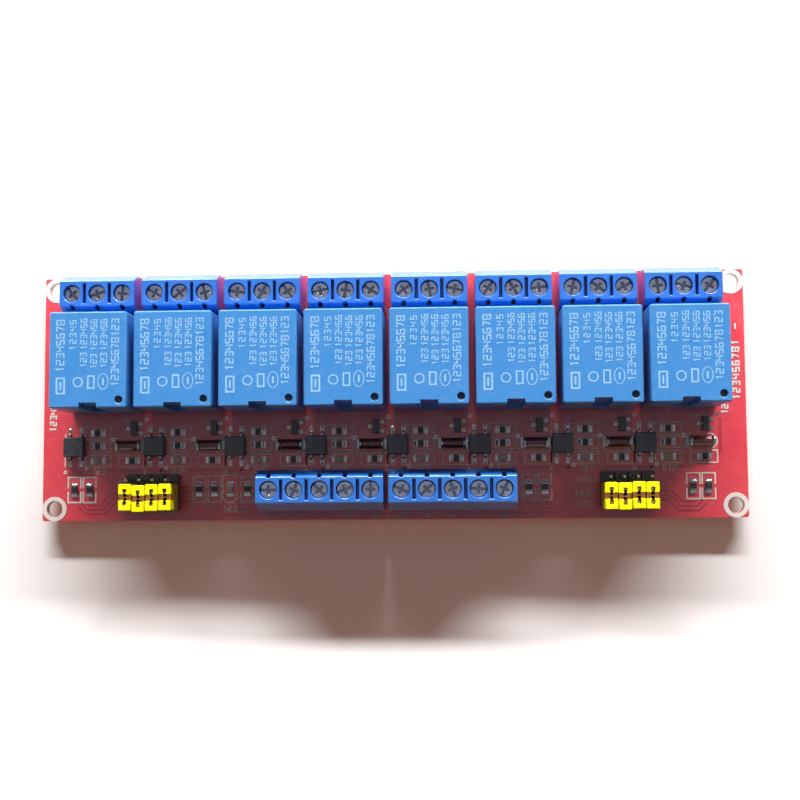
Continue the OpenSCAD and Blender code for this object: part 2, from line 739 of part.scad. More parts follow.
module transistor_leads() {
    color("silver") in_channels(transistor_x, -transistor_y) {
        for (y = [-1, 1]) translate([transistor_w / 2, y * transistor_lead_pitch / 2, 0]) rotate(-90)
            gull_wing(transistor_lead_l, transistor_parting, transistor_lead_w);
        translate([-transistor_w / 2, 0, 0]) rotate(90)
            gull_wing(transistor_lead_l, transistor_parting, transistor_lead_w);
    }
}

module diode_bodies() {
    l = diode_l - 2 * diode_cap_l;
    color("darkred") in_channels(diode_x - l / 2, -middle_row_y) translate([0, 0, diode_r])
        rotate([0, 90, 0]) cylinder(l, diode_r - diode_step, diode_r - diode_step);
}

module diode_end_caps() {
    color("silver") in_channels(diode_x, -middle_row_y) for (x = [-1, 1])
        translate([x * (diode_l - diode_cap_l) / 2 - diode_cap_l / 2, 0, diode_r])
            rotate([0, 90, 0]) cylinder(diode_cap_l, diode_r, diode_r);
}

// Ceramic body of one chip, or the seat for it in its end caps when wider by extra on each side
module chip_body(extra) {
    translate([-chip_l / 2 + chip_cap_t, -chip_w / 2 - extra, chip_cap_t])
        cube([chip_l - 2 * chip_cap_t, chip_w + 2 * extra, chip_h - 2 * chip_cap_t]);
}

module resistor_chips() {
    color("#222222") at_places(chip_places) chip_body(0);
}

// Tinned ends, folded over the chip from above and below
module resistor_end_caps() {
    color("silver") at_places(chip_places) for (x = [-1, 1]) difference() {
        translate([x * (chip_l - chip_cap_l) / 2, 0, 0])
            linear_extrude(chip_h) square([chip_cap_l, chip_w], center = true);
        chip_body(1);
    }
}

module lamp_bases() {
    color("whitesmoke") at_places(lamp_places)
        linear_extrude(lamp_base_h) square([chip_l, chip_w], center = true);
}

// Clear lens with leaning walls on the middle of each lamp's base
module lamp_lenses() {
    lens_h = lamp_h - lamp_base_h;
    color("lightyellow") at_places(lamp_places) translate([0, 0, lamp_base_h])
        moulded_body(lamp_lens_l, chip_w, lens_h, fit, body_draft / 2);
}

// ---------- what is drawn ----------

circuit_board();
solder_joints();
relay_bases();
relay_pins();
for (k = [0 : channels - 1]) {
    relay_cover(k);
    output_block(k);
    jumper_cap(k);
    optocoupler(k);
}
input_block(-1);  // input_block_left
input_block(1);  // input_block_right
terminal_screws();
wire_clamps();
terminal_contacts();
jumper_headers();
header_pins();
jumper_clips();
optocoupler_leads();
transistors();
transistor_leads();
diode_bodies();
diode_end_caps();
resistor_chips();
resistor_end_caps();
lamp_bases();
lamp_lenses();
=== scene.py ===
"""Looks of the eight-channel relay module board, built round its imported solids.

Lengths are written in millimetres and turned into metres as each mesh is made. Every place is worked
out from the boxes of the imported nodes. The wire inputs face -Y and the relay outputs face +Y.
"""
import json
import math

import bmesh
import bpy
import numpy as np
from mathutils import Matrix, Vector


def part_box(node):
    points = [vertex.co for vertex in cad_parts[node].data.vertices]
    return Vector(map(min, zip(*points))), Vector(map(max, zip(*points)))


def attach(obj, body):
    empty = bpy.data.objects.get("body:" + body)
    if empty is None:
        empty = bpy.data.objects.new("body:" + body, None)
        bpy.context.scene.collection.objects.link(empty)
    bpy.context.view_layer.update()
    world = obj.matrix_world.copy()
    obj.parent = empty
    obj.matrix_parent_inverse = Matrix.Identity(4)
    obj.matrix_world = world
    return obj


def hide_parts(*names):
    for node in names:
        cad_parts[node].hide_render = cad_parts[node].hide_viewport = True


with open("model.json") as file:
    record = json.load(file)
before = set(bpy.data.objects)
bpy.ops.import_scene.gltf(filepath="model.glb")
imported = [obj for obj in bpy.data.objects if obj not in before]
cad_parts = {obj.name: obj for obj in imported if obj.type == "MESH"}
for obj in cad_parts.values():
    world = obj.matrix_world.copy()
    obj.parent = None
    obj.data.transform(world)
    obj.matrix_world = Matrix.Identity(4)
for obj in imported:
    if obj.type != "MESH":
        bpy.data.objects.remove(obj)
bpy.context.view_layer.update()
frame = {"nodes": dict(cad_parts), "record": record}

MM = 0.001
CHANNELS = 8
INK = 0.03            # thickness of printed ink
COPPER = 0.04         # thickness of copper under its mask


# ---------- places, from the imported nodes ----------

def box(node):
    """Lowest and highest corner of a node, in millimetres."""
    return [np.array(corner, float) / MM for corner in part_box(node)]


def solids_of(node):
    """Boxes of the separate solids of a node, in millimetres, as an array (solid, low or high, axis).

    Points that coincide are made one, then every triangle hands the smallest label of its corners to
    all three, over and over, until each solid carries one label.
    """
    mesh = frame["nodes"][node].data
    points = np.empty(len(mesh.vertices) * 3)
    mesh.vertices.foreach_get("co", points)
    points = points.reshape(-1, 3) / MM
    mesh.calc_loop_triangles()
    tris = np.empty(len(mesh.loop_triangles) * 3, int)
    mesh.loop_triangles.foreach_get("vertices", tris)
    _, first, where = np.unique(points.round(4), axis=0, return_index=True, return_inverse=True)
    tris = where.reshape(-1)[tris].reshape(-1, 3)
    points = points[first]
    label = np.arange(len(points))
    while True:
        new = label.copy()
        np.minimum.at(new, tris.ravel(), np.repeat(label[tris].min(1), 3))
        new = new[new]
        if (new == label).all():
            break
        label = new
    used = np.unique(label[tris.ravel()])
    return np.array([[points[label == k].min(0), points[label == k].max(0)] for k in used])


board_lo, board_hi = box("circuit_board")
BOARD_TOP = board_hi[2]
BOARD_BOTTOM = board_lo[2]
relay = [box(f"relay_cover_{k}") for k in range(1, CHANNELS + 1)]
RELAY_TOP = relay[0][1][2]
relay_x = [float(lo[0] + hi[0]) / 2 for lo, hi in relay]
relay_front = float(relay[0][0][1])
relay_back = float(relay[0][1][1])
input_left, input_right = box("input_block_left"), box("input_block_right")
headers = sorted(solids_of("jumper_headers"), key=lambda b: b[0][0])
SCREW_TOP = box("terminal_screws")[1][2]
joints = solids_of("solder_joints")
joint_xy = joints.mean(1)[:, :2]
joint_r = (joints[:, 1, 0] - joints[:, 0, 0]) / 2


# ---------- meshes ----------

SAME_POINT = 1e-6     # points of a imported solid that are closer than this, in metres, are one
FLAT_TURN = 0.6       # triangles that turn less than this against each other, in degrees, are one face


def new_object(name, data):
    """Object for a mesh, a lamp or a camera, linked to the scene."""
    obj = bpy.data.objects.new(name, data)
    bpy.context.scene.collection.objects.link(obj)
    return obj


def keep(obj, finish, replaces=()):
    """Gives a finished piece its material, and lets it ride on the board."""
    obj.data.materials.clear()
    obj.data.materials.append(finish)
    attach(obj, "root")
    if replaces:
        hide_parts(*replaces)
    return obj


def grid_faces(rows, cols, wrap_rows=False, wrap_cols=True):
    """Quads between the neighbouring points of a grid, closed over its last row or column if asked."""
    r = np.arange(rows if wrap_rows else rows - 1)[:, None]
    c = np.arange(cols if wrap_cols else cols - 1)[None, :]
    r2, c2 = (r + 1) % rows, (c + 1) % cols
    return np.stack([r * cols + c, r * cols + c2, r2 * cols + c2, r2 * cols + c], -1).reshape(-1, 4)


class Batch:
    """Collects many small surfaces into one mesh."""

    def __init__(self):
        self.points, self.faces, self.count = [], [], 0

    def add(self, points, *face_sets):
        points = np.asarray(points, float).reshape(-1, 3)
        self.points.append(points)
        for faces in face_sets:
            self.faces += (np.atleast_2d(faces) + self.count).tolist()
        self.count += len(points)

    def make(self, name, finish, slot, replaces=(), sharp=40):
        """One piece of all that was added, with hard edges where it turns by more than sharp degrees."""
        mesh = bpy.data.meshes.new(name)
        mesh.from_pydata((np.concatenate(self.points) * MM).tolist(), [], self.faces)
        mesh.shade_smooth()
        mesh.set_sharp_from_angle(angle=math.radians(sharp))
        return keep(new_object(name, mesh), finish, replaces)


def offsets(path, closed):
    """Sideways step at each point of a flat path: the bisector of its two sides' normals, stretched by
    one over the cosine of half the turn, so a ribbon keeps its width round a corner. The cosine counts as
    0.3 at least, which blunts the sharpest turns."""
    p = np.asarray(path, float)
    step = np.roll(p, -1, 0) - p
    step /= np.maximum(np.hypot(*step.T), 1e-9)[:, None]
    before = np.roll(step, 1, 0)
    if not closed:
        step[-1] = step[-2]
        before[0] = step[0]
    normal = np.stack([-step[:, 1], step[:, 0]], 1)
    other = np.stack([-before[:, 1], before[:, 0]], 1)
    middle = normal + other
    middle /= np.maximum(np.hypot(*middle.T), 1e-9)[:, None]
    return middle / np.maximum((middle * normal).sum(1), 0.3)[:, None]


def ribbon(batch, path, width, z, thick, closed=False):
    """Flat bar along a path: a rectangle, width wide and thick high, carried from point to point with
    its lower side at height z."""
    p = np.asarray(path, float)
    side = offsets(p, closed) * width / 2
    left, right = p + side, p - side
    low, high = np.full(len(p), z), np.full(len(p), z + thick)
    ring = np.stack([
        np.column_stack([left, high]), np.column_stack([right, high]),
        np.column_stack([right, low]), np.column_stack([left, low])
    ], 1)
    sets = [grid_faces(len(p), 4, wrap_rows=closed)]
    if not closed:
        last = 4 * (len(p) - 1)
        sets += [[[3, 2, 1, 0]], [[last, last + 1, last + 2, last + 3]]]
    batch.add(ring, *sets)


def lathe(batch, radius, height, at, sides=16, ring=False, along="z"):
    """Turned shape: each point of the profile (radius, height) goes once round the axis, upright or
    along x. A ring's profile is closed on itself, and any other gets a flat disc at each end."""
    radius, height = np.asarray(radius, float), np.asarray(height, float)
    turn = np.arange(sides) * 2 * math.pi / sides
    a = radius[:, None] * np.cos(turn)
    b = radius[:, None] * np.sin(turn)
    h = np.repeat(height[:, None], sides, 1)
    if along == "z":
        points = np.stack([a, b, h], -1)
    else:
        points = np.stack([h, a, b], -1)
    sets = [grid_faces(len(radius), sides, wrap_rows=ring)]
    if not ring:
        sets += [[np.arange(sides)[::-1]], [np.arange(sides) + sides * (len(radius) - 1)]]
    batch.add(points + np.asarray(at, float), *sets)


def circle(x, y, r, sides=24, start=0.0, end=360.0):
    """Points round a circle, or along a part of it between two angles in degrees."""
    full = abs(end - start) >= 360
    turn = np.radians(np.linspace(start, end, sides, endpoint=not full))
    return np.stack([x + r * np.cos(turn), y + r * np.sin(turn)], 1)


def rectangle(x0, y0, x1, y1):
    """Corners of a rectangle, counted to the left round from the lower left one."""
    return [(x0, y0), (x1, y0), (x1, y1), (x0, y1)]


def even_normals(mesh, angle):
    """Normal at each corner: the mean of the faces round its vertex that turn less than angle from the
    corner's own face, each counted by its area, so that broad flats stay flat beside small rounds."""
    corners, faces = len(mesh.loops), len(mesh.polygons)
    vertex, sides = np.empty(corners, np.int32), np.empty(faces, np.int32)
    normal, area = np.empty(faces * 3), np.empty(faces)
    mesh.loops.foreach_get("vertex_index", vertex)
    mesh.polygons.foreach_get("loop_total", sides)
    mesh.polygons.foreach_get("normal", normal)
    mesh.polygons.foreach_get("area", area)
    owner = np.repeat(np.arange(faces), sides)
    normal, area = normal.reshape(-1, 3)[owner], area[owner]
    order = np.argsort(vertex, kind="stable")
    count = np.bincount(vertex)
    start = np.cumsum(count) - count
    partners = count[vertex[order]]
    step = np.arange(partners.sum()) - np.repeat(np.cumsum(partners) - partners, partners)
    own = np.repeat(order, partners)
    other = order[np.repeat(start[vertex[order]], partners) + step]
    close = (normal[own] * normal[other]).sum(1) > math.cos(math.radians(angle))
    own, other = own[close], other[close]
    share = normal[other] * area[other, None]
    total = np.stack([np.bincount(own, share[:, k], corners) for k in range(3)], 1)
    total /= np.maximum(np.linalg.norm(total, axis=1, keepdims=True), 1e-30)
    mesh.shade_smooth()
    mesh.normals_split_custom_set(total.tolist())


def softened(node, finish, slot, width, segments, edge_angle, flat_angle):
    """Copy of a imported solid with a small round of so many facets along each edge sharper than
    edge_angle, as a mould or a tumbler leaves it, and shaded smooth over turns smaller than flat_angle.
    Rounds of two facets are kept from running into each other."""
    name = node + "_finish"
    mesh = frame["nodes"][node].data.copy()
    mesh.name = name
    bm = bmesh.new()
    bm.from_mesh(mesh)
    bmesh.ops.remove_doubles(bm, verts=bm.verts, dist=SAME_POINT)
    bmesh.ops.dissolve_limit(bm, angle_limit=math.radians(FLAT_TURN), verts=bm.verts, edges=bm.edges)
    bm.to_mesh(mesh)
    bm.free()
    obj = new_object(name, mesh)
    edge = obj.modifiers.new("edge_round", "BEVEL")
    edge.width = width * MM
    edge.segments = segments
    edge.limit_method = "ANGLE"
    edge.angle_limit = math.radians(edge_angle)
    edge.use_clamp_overlap = segments == 2
    rounded = bpy.data.meshes.new_from_object(obj.evaluated_get(bpy.context.evaluated_depsgraph_get()))
    obj.modifiers.clear()
    obj.data = rounded
    even_normals(rounded, flat_angle)
    return keep(obj, finish, (node,))


# ---------- shader node groups ----------

class Wiring:
    """Adds shader nodes to one tree. An input given as a socket is joined, any other is set."""

    def __init__(self, tree):
        self.tree = tree

    def add(self, kind, inputs=None, **settings):
        node = self.tree.nodes.new("ShaderNode" + kind)
        for key, value in settings.items():
            setattr(node, key, value)
        for key, value in (inputs or {}).items():
            self.put(node.inputs[key], value)
        return node

    def put(self, socket, value):
        if isinstance(value, bpy.types.NodeSocket):
            self.tree.links.new(value, socket)
        else:
            socket.default_value = value

    def math(self, operation, a, b=0.0, c=None, clamp=False):
        inputs = {0: a, 1: b}
        if c is not None:
            inputs[2] = c
        return self.add("Math", inputs, operation=operation, use_clamp=clamp).outputs[0]

    def blend(self, factor, a, b, mode="MIX"):
        node = self.add("Mix", {0: factor, 6: a, 7: b}, data_type="RGBA", blend_type=mode)
        return node.outputs[2]

    def band(self, value, low, high):
        """0 below low, 1 above high, and smooth between."""
        node = self.add("MapRange", {0: value, 1: low, 2: high}, interpolation_type="SMOOTHSTEP")
        return node.outputs[0]

    def place(self):
        """Point on the piece, in metres."""
        return self.add("TexCoord").outputs["Object"]

    def per(self, size):
        """Scale at which a noise has lumps of a size in millimetres."""
        return self.math("DIVIDE", 1.0 / MM, size)

    def noise(self, scale, detail, rough=0.5, at=None):
        """Cloudy noise about 0.5, over the piece or over other coordinates."""
        at = self.place() if at is None else at
        return self.add("TexNoise", {
            "Vector": at, "Scale": scale, "Detail": detail, "Roughness": rough}).outputs[0]

    def facing_up(self):
        """Upward part of the normal: 1 on top, 0 on a wall, -1 below."""
        return self.add("SeparateXYZ", {0: self.add("NewGeometry").outputs["Normal"]}).outputs[2]


def effect(name, inputs, outputs):
    """Empty shader node group with named sockets of kind f, a number, or c, a colour, as (group, wiring,
    its inputs, output node)."""
    group = bpy.data.node_groups.new(name, "ShaderNodeTree")
    kinds = {"f": "NodeSocketFloat", "c": "NodeSocketColor"}
    for label, kind, default in inputs:
        socket = group.interface.new_socket(name=label, in_out="INPUT", socket_type=kinds[kind])
        socket.default_value = default
    for label, kind in outputs:
        group.interface.new_socket(name=label, in_out="OUTPUT", socket_type=kinds[kind])
    wire = Wiring(group)
    given = group.nodes.new("NodeGroupInput").outputs
    out = group.nodes.new("NodeGroupOutput")
    return group, wire, given, out


def make_effects():
    """The effects that several finishes share. Sizes are in millimetres."""
    groups = {}

    # Slow drift of a colour in value, saturation and a little in hue, as pigment and light ageing give
    g, w, i, o = effect("tint_drift", [
        ("Colour", "c", (0.5, 0.5, 0.5, 1)), ("Amount", "f", 0.1), ("Size", "f", 4.0)], [("Colour", "c")])
    at, scale = w.place(), w.per(i["Size"])
    slow = w.noise(scale, 4.0, 0.55, at)
    fast = w.noise(w.math("MULTIPLY", scale, 7.0), 2.0, at=at)
    both = w.math("ADD", w.math("MULTIPLY", slow, 0.7), w.math("MULTIPLY", fast, 0.3))
    shift = w.math("MULTIPLY", w.math("SUBTRACT", both, 0.5), w.math("MULTIPLY", i["Amount"], 4.0))
    drift = w.add("HueSaturation", {
        "Hue": w.math("ADD", 0.5, w.math("MULTIPLY", shift, 0.03)),
        "Saturation": w.math("SUBTRACT", 1.0, w.math("MULTIPLY", shift, 0.4)),
        "Value": w.math("ADD", 1.0, shift), "Color": i["Colour"]})
    w.put(o.inputs["Colour"], drift.outputs[0])
    groups["tint"] = g

    # Height of a moulded or cast skin: fine spark grain with shallow flow waves
    g, w, i, o = effect("skin_relief", [("Grain", "f", 0.15), ("Waves", "f", 3.0), ("Mix", "f", 0.3)],
                        [("Height", "f")])
    at = w.place()
    fine, wide = w.noise(w.per(i["Grain"]), 3.0, at=at), w.noise(w.per(i["Waves"]), 1.0, at=at)
    w.put(o.inputs["Height"], w.add("Mix", {0: i["Mix"], 2: fine, 3: wide}).outputs[0])
    groups["relief"] = g

    # Mask of the edges that hands and tools rub: where a rounded normal leaves the true one
    g, w, i, o = effect("rubbed_edge", [("Radius", "f", 0.15), ("Patch", "f", 1.5)], [("Mask", "f")])
    true_normal = w.add("NewGeometry").outputs["Normal"]
    rounded = w.add("Bevel", {"Radius": w.math("MULTIPLY", i["Radius"], MM)}, samples=4).outputs[0]
    lean = w.add("VectorMath", {0: rounded, 1: true_normal}, operation="DOT_PRODUCT").outputs[1]
    patch = w.noise(w.per(i["Patch"]), 5.0, 0.7)
    w.put(o.inputs["Mask"], w.math("MULTIPLY", w.band(lean, 0.995, 0.8), w.band(patch, 0.42, 0.62)))
    groups["rubbed"] = g

    # Mask of the dust that settles on faces that look up
    g, w, i, o = effect("settled_dust", [("Size", "f", 1.2)], [("Mask", "f")])
    cloud = w.noise(w.per(i["Size"]), 6.0, 0.75)
    w.put(o.inputs["Mask"], w.math("MULTIPLY", w.band(w.facing_up(), 0.2, 0.9), w.band(cloud, 0.45, 0.75)))
    groups["dust"] = g

    # Gloss that varies from place to place, with thin hairline scuffs along one slanted direction
    g, w, i, o = effect("gloss_drift", [
        ("Roughness", "f", 0.4), ("Amount", "f", 0.1), ("Size", "f", 2.0), ("Scuffs", "f", 0.2)],
        [("Roughness", "f")])
    at = w.place()
    cloud = w.noise(w.per(i["Size"]), 4.0, at=at)
    drawn = w.add("Mapping", {"Vector": at, "Rotation": (0.3, 0.5, 0.7),
                              "Scale": (40, 1400, 700)}).outputs[0]
    lines = w.band(w.noise(1.0, 2.0, at=drawn), 0.66, 0.72)
    spread = w.math("MULTIPLY", w.math("SUBTRACT", cloud, 0.5), w.math("MULTIPLY", i["Amount"], 3.0))
    total = w.math("ADD", i["Roughness"], spread)
    total = w.math("ADD", total, w.math("MULTIPLY", lines, i["Scuffs"]), clamp=True)
    w.put(o.inputs["Roughness"], total)
    groups["gloss"] = g
    return groups


EFFECTS = make_effects()


def use(wire, effect_name, inputs):
    """Output of one of the shared effects, placed in a material with its own values."""
    node = wire.tree.nodes.new("ShaderNodeGroup")
    node.node_tree = EFFECTS[effect_name]
    for key, value in inputs.items():
        wire.put(node.inputs[key], value)
    return node.outputs[0]


def new_finish(name, **plain):
    """Material with one Principled BSDF, whose constants are set on its own sockets."""
    material = bpy.data.materials.new(name)
    material.use_nodes = True
    wire = Wiring(material.node_tree)
    shader = material.node_tree.nodes["Principled BSDF"]
    for key, value in plain.items():
        shader.inputs[key.replace("_", " ")].default_value = value
    return material, wire, shader


def rgb(r, g, b):
    return (r, g, b, 1.0)


DUST_GREY = rgb(0.62, 0.58, 0.54)
MASK_GLOSS = {"Coat_Weight": 1.0, "Coat_Roughness": 0.14, "Specular_IOR_Level": 0.9}


def put_bump(wire, shader, height, strength, depth):
    """Joins a height to the shader's normal, depth millimetres deep where it goes from 0 to 1."""
    bump = wire.add("Bump", {"Height": height, "Strength": strength, "Distance": depth * MM})
    wire.put(shader.inputs["Normal"], bump.outputs[0])


def dressed(name, colour, rough, tint=(0.08, 5.0), grain=(0.12, 2.5, 0.35), depth=0.02, rub=None,
            rub_radius=0.14, dust=0.12, scuffs=0.12, gloss=0.10, base=None, height=None, **plain):
    """Finish made of the shared effects: drifting colour, rubbed edges, dust, uneven gloss, relief.

    tint is the amount and size of the drift. grain is the size of the grain, of the waves and the share
    of the waves. rub is the colour of rubbed edges and how much of it shows. base and height are
    functions that give a colour to drift and a height to add.
    """
    material, wire, shader = new_finish(name, **plain)
    tone = use(wire, "tint", {"Colour": base(wire) if base else colour, "Amount": tint[0], "Size": tint[1]})
    if rub:
        mask = use(wire, "rubbed", {"Radius": rub_radius, "Patch": 1.2})
        tone = wire.blend(wire.math("MULTIPLY", mask, rub[3]), tone, rgb(*rub[:3]))
    powder = wire.math("MULTIPLY", use(wire, "dust", {"Size": 1.1}), dust)
    wire.put(shader.inputs["Base Color"], wire.blend(powder, tone, DUST_GREY))
    worn = use(wire, "gloss", {"Roughness": rough, "Amount": gloss, "Size": 1.6, "Scuffs": scuffs})
    wire.put(shader.inputs["Roughness"], wire.math("ADD", worn, powder, clamp=True))
    skin = use(wire, "relief", {"Grain": grain[0], "Waves": grain[1], "Mix": grain[2]})
    if height:
        skin = wire.math("ADD", skin, height(wire))
    put_bump(wire, shader, skin, 0.6, depth)
    return material


def weave_height(wire):
    """Cloth of the glass laminate under the mask: two crossed sets of threads, 0.9 mm apart."""
    settings = {"Vector": wire.place(), "Scale": 1.0 / (0.9 * MM), "Distortion": 0.8, "Detail": 1.0}
    threads = [
        wire.add("TexWave", settings, wave_type="BANDS", bands_direction=axis, wave_profile="SIN").outputs[1]
        for axis in ("X", "Y")
    ]
    return wire.math("MULTIPLY", wire.math("ADD", *threads), 0.8)


def streaks_height(wire):
    """Drawn lines of rolled or turned metal, long one way and close the other."""
    stretch = {"Vector": wire.place(), "Rotation": (0, 0, 0.4), "Scale": (500, 9000, 3000)}
    return wire.noise(1.0, 3.0, at=wire.add("Mapping", stretch).outputs[0])


def screw_steel_painted_light(wire):
    """Steel of a screw's head: tinted blue all over as a painted reflection of the blue block round it,
    paler on its face, and dark with painted shade down in its slots.
    """
    height = wire.add("SeparateXYZ", {0: wire.place()}).outputs[2]
    face = wire.band(height, (SCREW_TOP - 0.40) * MM, (SCREW_TOP - 0.14) * MM)
    return wire.blend(face, rgb(0.23, 0.235, 0.30), rgb(0.53, 0.55, 0.69))


def board_finish():
    """Solder mask over laminate: red on the two faces, bare pale laminate round the cut edges."""
    material, wire, shader = new_finish("board_red", **MASK_GLOSS)
    face = wire.band(wire.math("ABSOLUTE", wire.facing_up()), 0.3, 0.7)
    mask = use(wire, "tint", {"Colour": rgb(0.95, 0.052, 0.080), "Amount": 0.07, "Size": 9.0})
    bare = use(wire, "tint", {"Colour": rgb(0.62, 0.50, 0.34), "Amount": 0.12, "Size": 0.6})
    tone = wire.blend(face, bare, mask)
    powder = wire.math("MULTIPLY", use(wire, "dust", {"Size": 1.4}), 0.10)
    wire.put(shader.inputs["Base Color"], wire.blend(powder, tone, rgb(0.62, 0.55, 0.50)))
    rough = use(wire, "gloss", {"Roughness": 0.36, "Amount": 0.12, "Size": 3.0, "Scuffs": 0.15})
    cut = wire.math("MULTIPLY", wire.math("SUBTRACT", 1.0, face), 0.35)
    wire.put(shader.inputs["Roughness"], wire.math("ADD", rough, cut, clamp=True))
    skin = use(wire, "relief", {"Grain": 0.1, "Waves": 2.0, "Mix": 0.5})
    put_bump(wire, shader, wire.math("ADD", weave_height(wire), skin), 0.35, 0.012)
    return material


def clear_finish():
    """Clear cast resin of a lamp with its pale phosphor below."""
    material, wire, shader = new_finish(
        "lamp_clear", Transmission_Weight=0.35, IOR=1.5, Coat_Weight=0.4, Coat_Roughness=0.05)
    tone = use(wire, "tint", {"Colour": rgb(0.86, 0.80, 0.58), "Amount": 0.08, "Size": 0.5})
    wire.put(shader.inputs["Base Color"], tone)
    rough = use(wire, "gloss", {"Roughness": 0.18, "Amount": 0.08, "Size": 0.5, "Scuffs": 0.1})
    wire.put(shader.inputs["Roughness"], rough)
    put_bump(wire, shader, use(wire, "relief", {"Grain": 0.08, "Waves": 0.5, "Mix": 0.5}), 0.4, 0.01)
    return material


METAL = {"Metallic": 1.0, "height": streaks_height}

FINISH = {
    "board_red": board_finish(),
    "track_red": dressed("track_red", rgb(0.60, 0.020, 0.036), 0.32, tint=(0.06, 4.0), dust=0.08,
                         height=weave_height, depth=0.010, **MASK_GLOSS),
    "relay_blue": dressed("relay_blue", rgb(0.044, 0.242, 0.600), 0.32, tint=(0.045, 7.0), depth=0.006,
                          rub=(0.45, 0.68, 0.95, 0.45), scuffs=0.015, dust=0.06, Specular_IOR_Level=0.85),
    "relay_base": dressed("relay_base", rgb(0.035, 0.038, 0.045), 0.55),
    "block_blue": dressed("block_blue", rgb(0.008, 0.145, 0.560), 0.34, tint=(0.05, 5.0), depth=0.004,
                          rub=(0.16, 0.42, 0.90, 0.45), gloss=0.05, scuffs=0.03, dust=0.04,
                          Specular_IOR_Level=1.0, Coat_Weight=0.8, Coat_Roughness=0.22),
    "tinned_copper": dressed("tinned_copper", rgb(0.66, 0.62, 0.58), 0.34, dust=0.05, depth=0.008, **METAL),
    # The colour of the screw heads holds painted shade in their slots and a painted reflection of the blue
    # block.
    "screw_steel": dressed("screw_steel", None, 0.22, base=screw_steel_painted_light, dust=0.06, tint=(0.34, 0.7),
                           rub=(0.75, 0.74, 0.72, 0.7), grain=(0.5, 0.9, 0.5), depth=0.045, **METAL),
    "clamp_steel": dressed("clamp_steel", rgb(0.52, 0.52, 0.54), 0.36, dust=0.08, depth=0.010, **METAL),
    "header_black": dressed("header_black", rgb(0.014, 0.014, 0.017), 0.48, rub=(0.10, 0.10, 0.11, 0.5),
                            Specular_IOR_Level=0.9),
    "pin_gold": dressed("pin_gold", rgb(0.82, 0.74, 0.56), 0.26, dust=0.04, tint=(0.10, 0.8), depth=0.006,
                        **METAL),
    "cap_yellow": dressed("cap_yellow", rgb(0.95, 0.86, 0.004), 0.36, tint=(0.05, 2.5), dust=0.015,
                          rub=(1.0, 0.90, 0.30, 0.4), depth=0.012, Specular_IOR_Level=0.3),
    "clip_bronze": dressed("clip_bronze", rgb(0.92, 0.42, 0.12), 0.34, tint=(0.14, 0.8), depth=0.008,
                           **METAL),
    "resin_black": dressed("resin_black", rgb(0.016, 0.016, 0.019), 0.46, tint=(0.20, 1.5),
                           grain=(0.06, 1.0, 0.2), rub=(0.12, 0.12, 0.12, 0.5), depth=0.018,
                           Specular_IOR_Level=1.0),
    "tinned_leads": dressed("tinned_leads", rgb(0.33, 0.30, 0.29), 0.28, dust=0.05, tint=(0.12, 0.7),
                            depth=0.008, **METAL),
    "diode_red": dressed("diode_red", rgb(0.20, 0.028, 0.018), 0.16, tint=(0.25, 1.0), dust=0.06,
                         Coat_Weight=0.6, Coat_Roughness=0.06),
    "resistor_black": dressed("resistor_black", rgb(0.028, 0.028, 0.032), 0.34, tint=(0.20, 0.8),
                              rub=(0.55, 0.53, 0.50, 0.6), rub_radius=0.06, depth=0.010),
    "lamp_white": dressed("lamp_white", rgb(0.80, 0.78, 0.72), 0.45, tint=(0.06, 0.8)),
    "lamp_clear": clear_finish(),
    "solder": dressed("solder", rgb(0.41, 0.39, 0.38), 0.24, tint=(0.12, 0.8), dust=0.06, gloss=0.16,
                      grain=(0.5, 1.4, 0.6), depth=0.05, Metallic=1.0),
    "board_ink": dressed("board_ink", rgb(1.0, 0.90, 0.82), 0.52, tint=(0.04, 0.8), dust=0.02, scuffs=0.04,
                         depth=0.010),
    "relay_ink": dressed("relay_ink", rgb(0.30, 0.54, 0.80), 0.42, tint=(0.14, 0.6), dust=0.05, depth=0.010),
}


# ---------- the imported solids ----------

# Width of the round in mm, its facets, the turn in degrees past which an edge gets one, and the turn up
# to which the finished piece is shaded smooth
SOFT_EDGES = {
    "relay_cover": (0.16, 3, 60, 50), "output_block": (0.16, 4, 20, 25),
    "input_block_left": (0.18, 4, 20, 25), "input_block_right": (0.18, 4, 20, 25),
    "jumper_cap": (0.05, 3, 60, 50), "jumper_headers": (0.03, 2, 32, 40), "optocoupler": (0.05, 2, 32, 40),
    "terminal_screws": (0.09, 2, 32, 40), "transistors": (0.04, 2, 32, 40)}

for subpart in frame["record"]["subparts"]:
    node, slot = subpart["node"], subpart["material_slot"]
    kind = node.rstrip("_0123456789")
    if kind in SOFT_EDGES:
        softened(node, FINISH[slot], slot, *SOFT_EDGES[kind])
    else:
        mesh = frame["nodes"][node].data
        mesh.materials.clear()
        mesh.materials.append(FINISH[slot])


# ---------- solder, pads and small turned parts ----------

PAD_RIM = 0.30        # reach of a pin's pad past its solder
SOLDER_SKIRT = 0.40   # reach of the solder past the pin it climbs
# The dark bottom of each vent is painted shade, a dark dish that stands in for the shade down in the hole.
VENT_R, VENT_INSET, VENT_DEPTH = 0.72, 1.6, 0.66      # dark bottom of a relay's vent


def make_joints():
    """Solder under the board: from the pad to the end the radius falls to the pin's with the power 2.4
    of the way left, which gives the hollow cone that solder draws round a pin."""
    solder, pads = Batch(), Batch()
    rise = BOARD_BOTTOM - float(joints[0][0][2])
    left = np.linspace(0.0, 1.0, 6)
    for (x, y), r in zip(joint_xy, joint_r):
        core = r - SOLDER_SKIRT
        radius = core + (r - core) * left ** 2.4
        radius[0] = core * 0.80
        lathe(solder, radius, left * rise - rise, (x, y, BOARD_BOTTOM), sides=14)
        lathe(pads, [r + PAD_RIM, r + PAD_RIM, r - PAD_RIM, r - PAD_RIM],
              [-COPPER, -0.001, -0.001, -COPPER], (x, y, BOARD_BOTTOM), sides=20, ring=True)
    solder.make("solder_fillets", FINISH["solder"], "solder", ("solder_joints",), sharp=60)
    pads.make("pin_pads", FINISH["solder"], "solder")


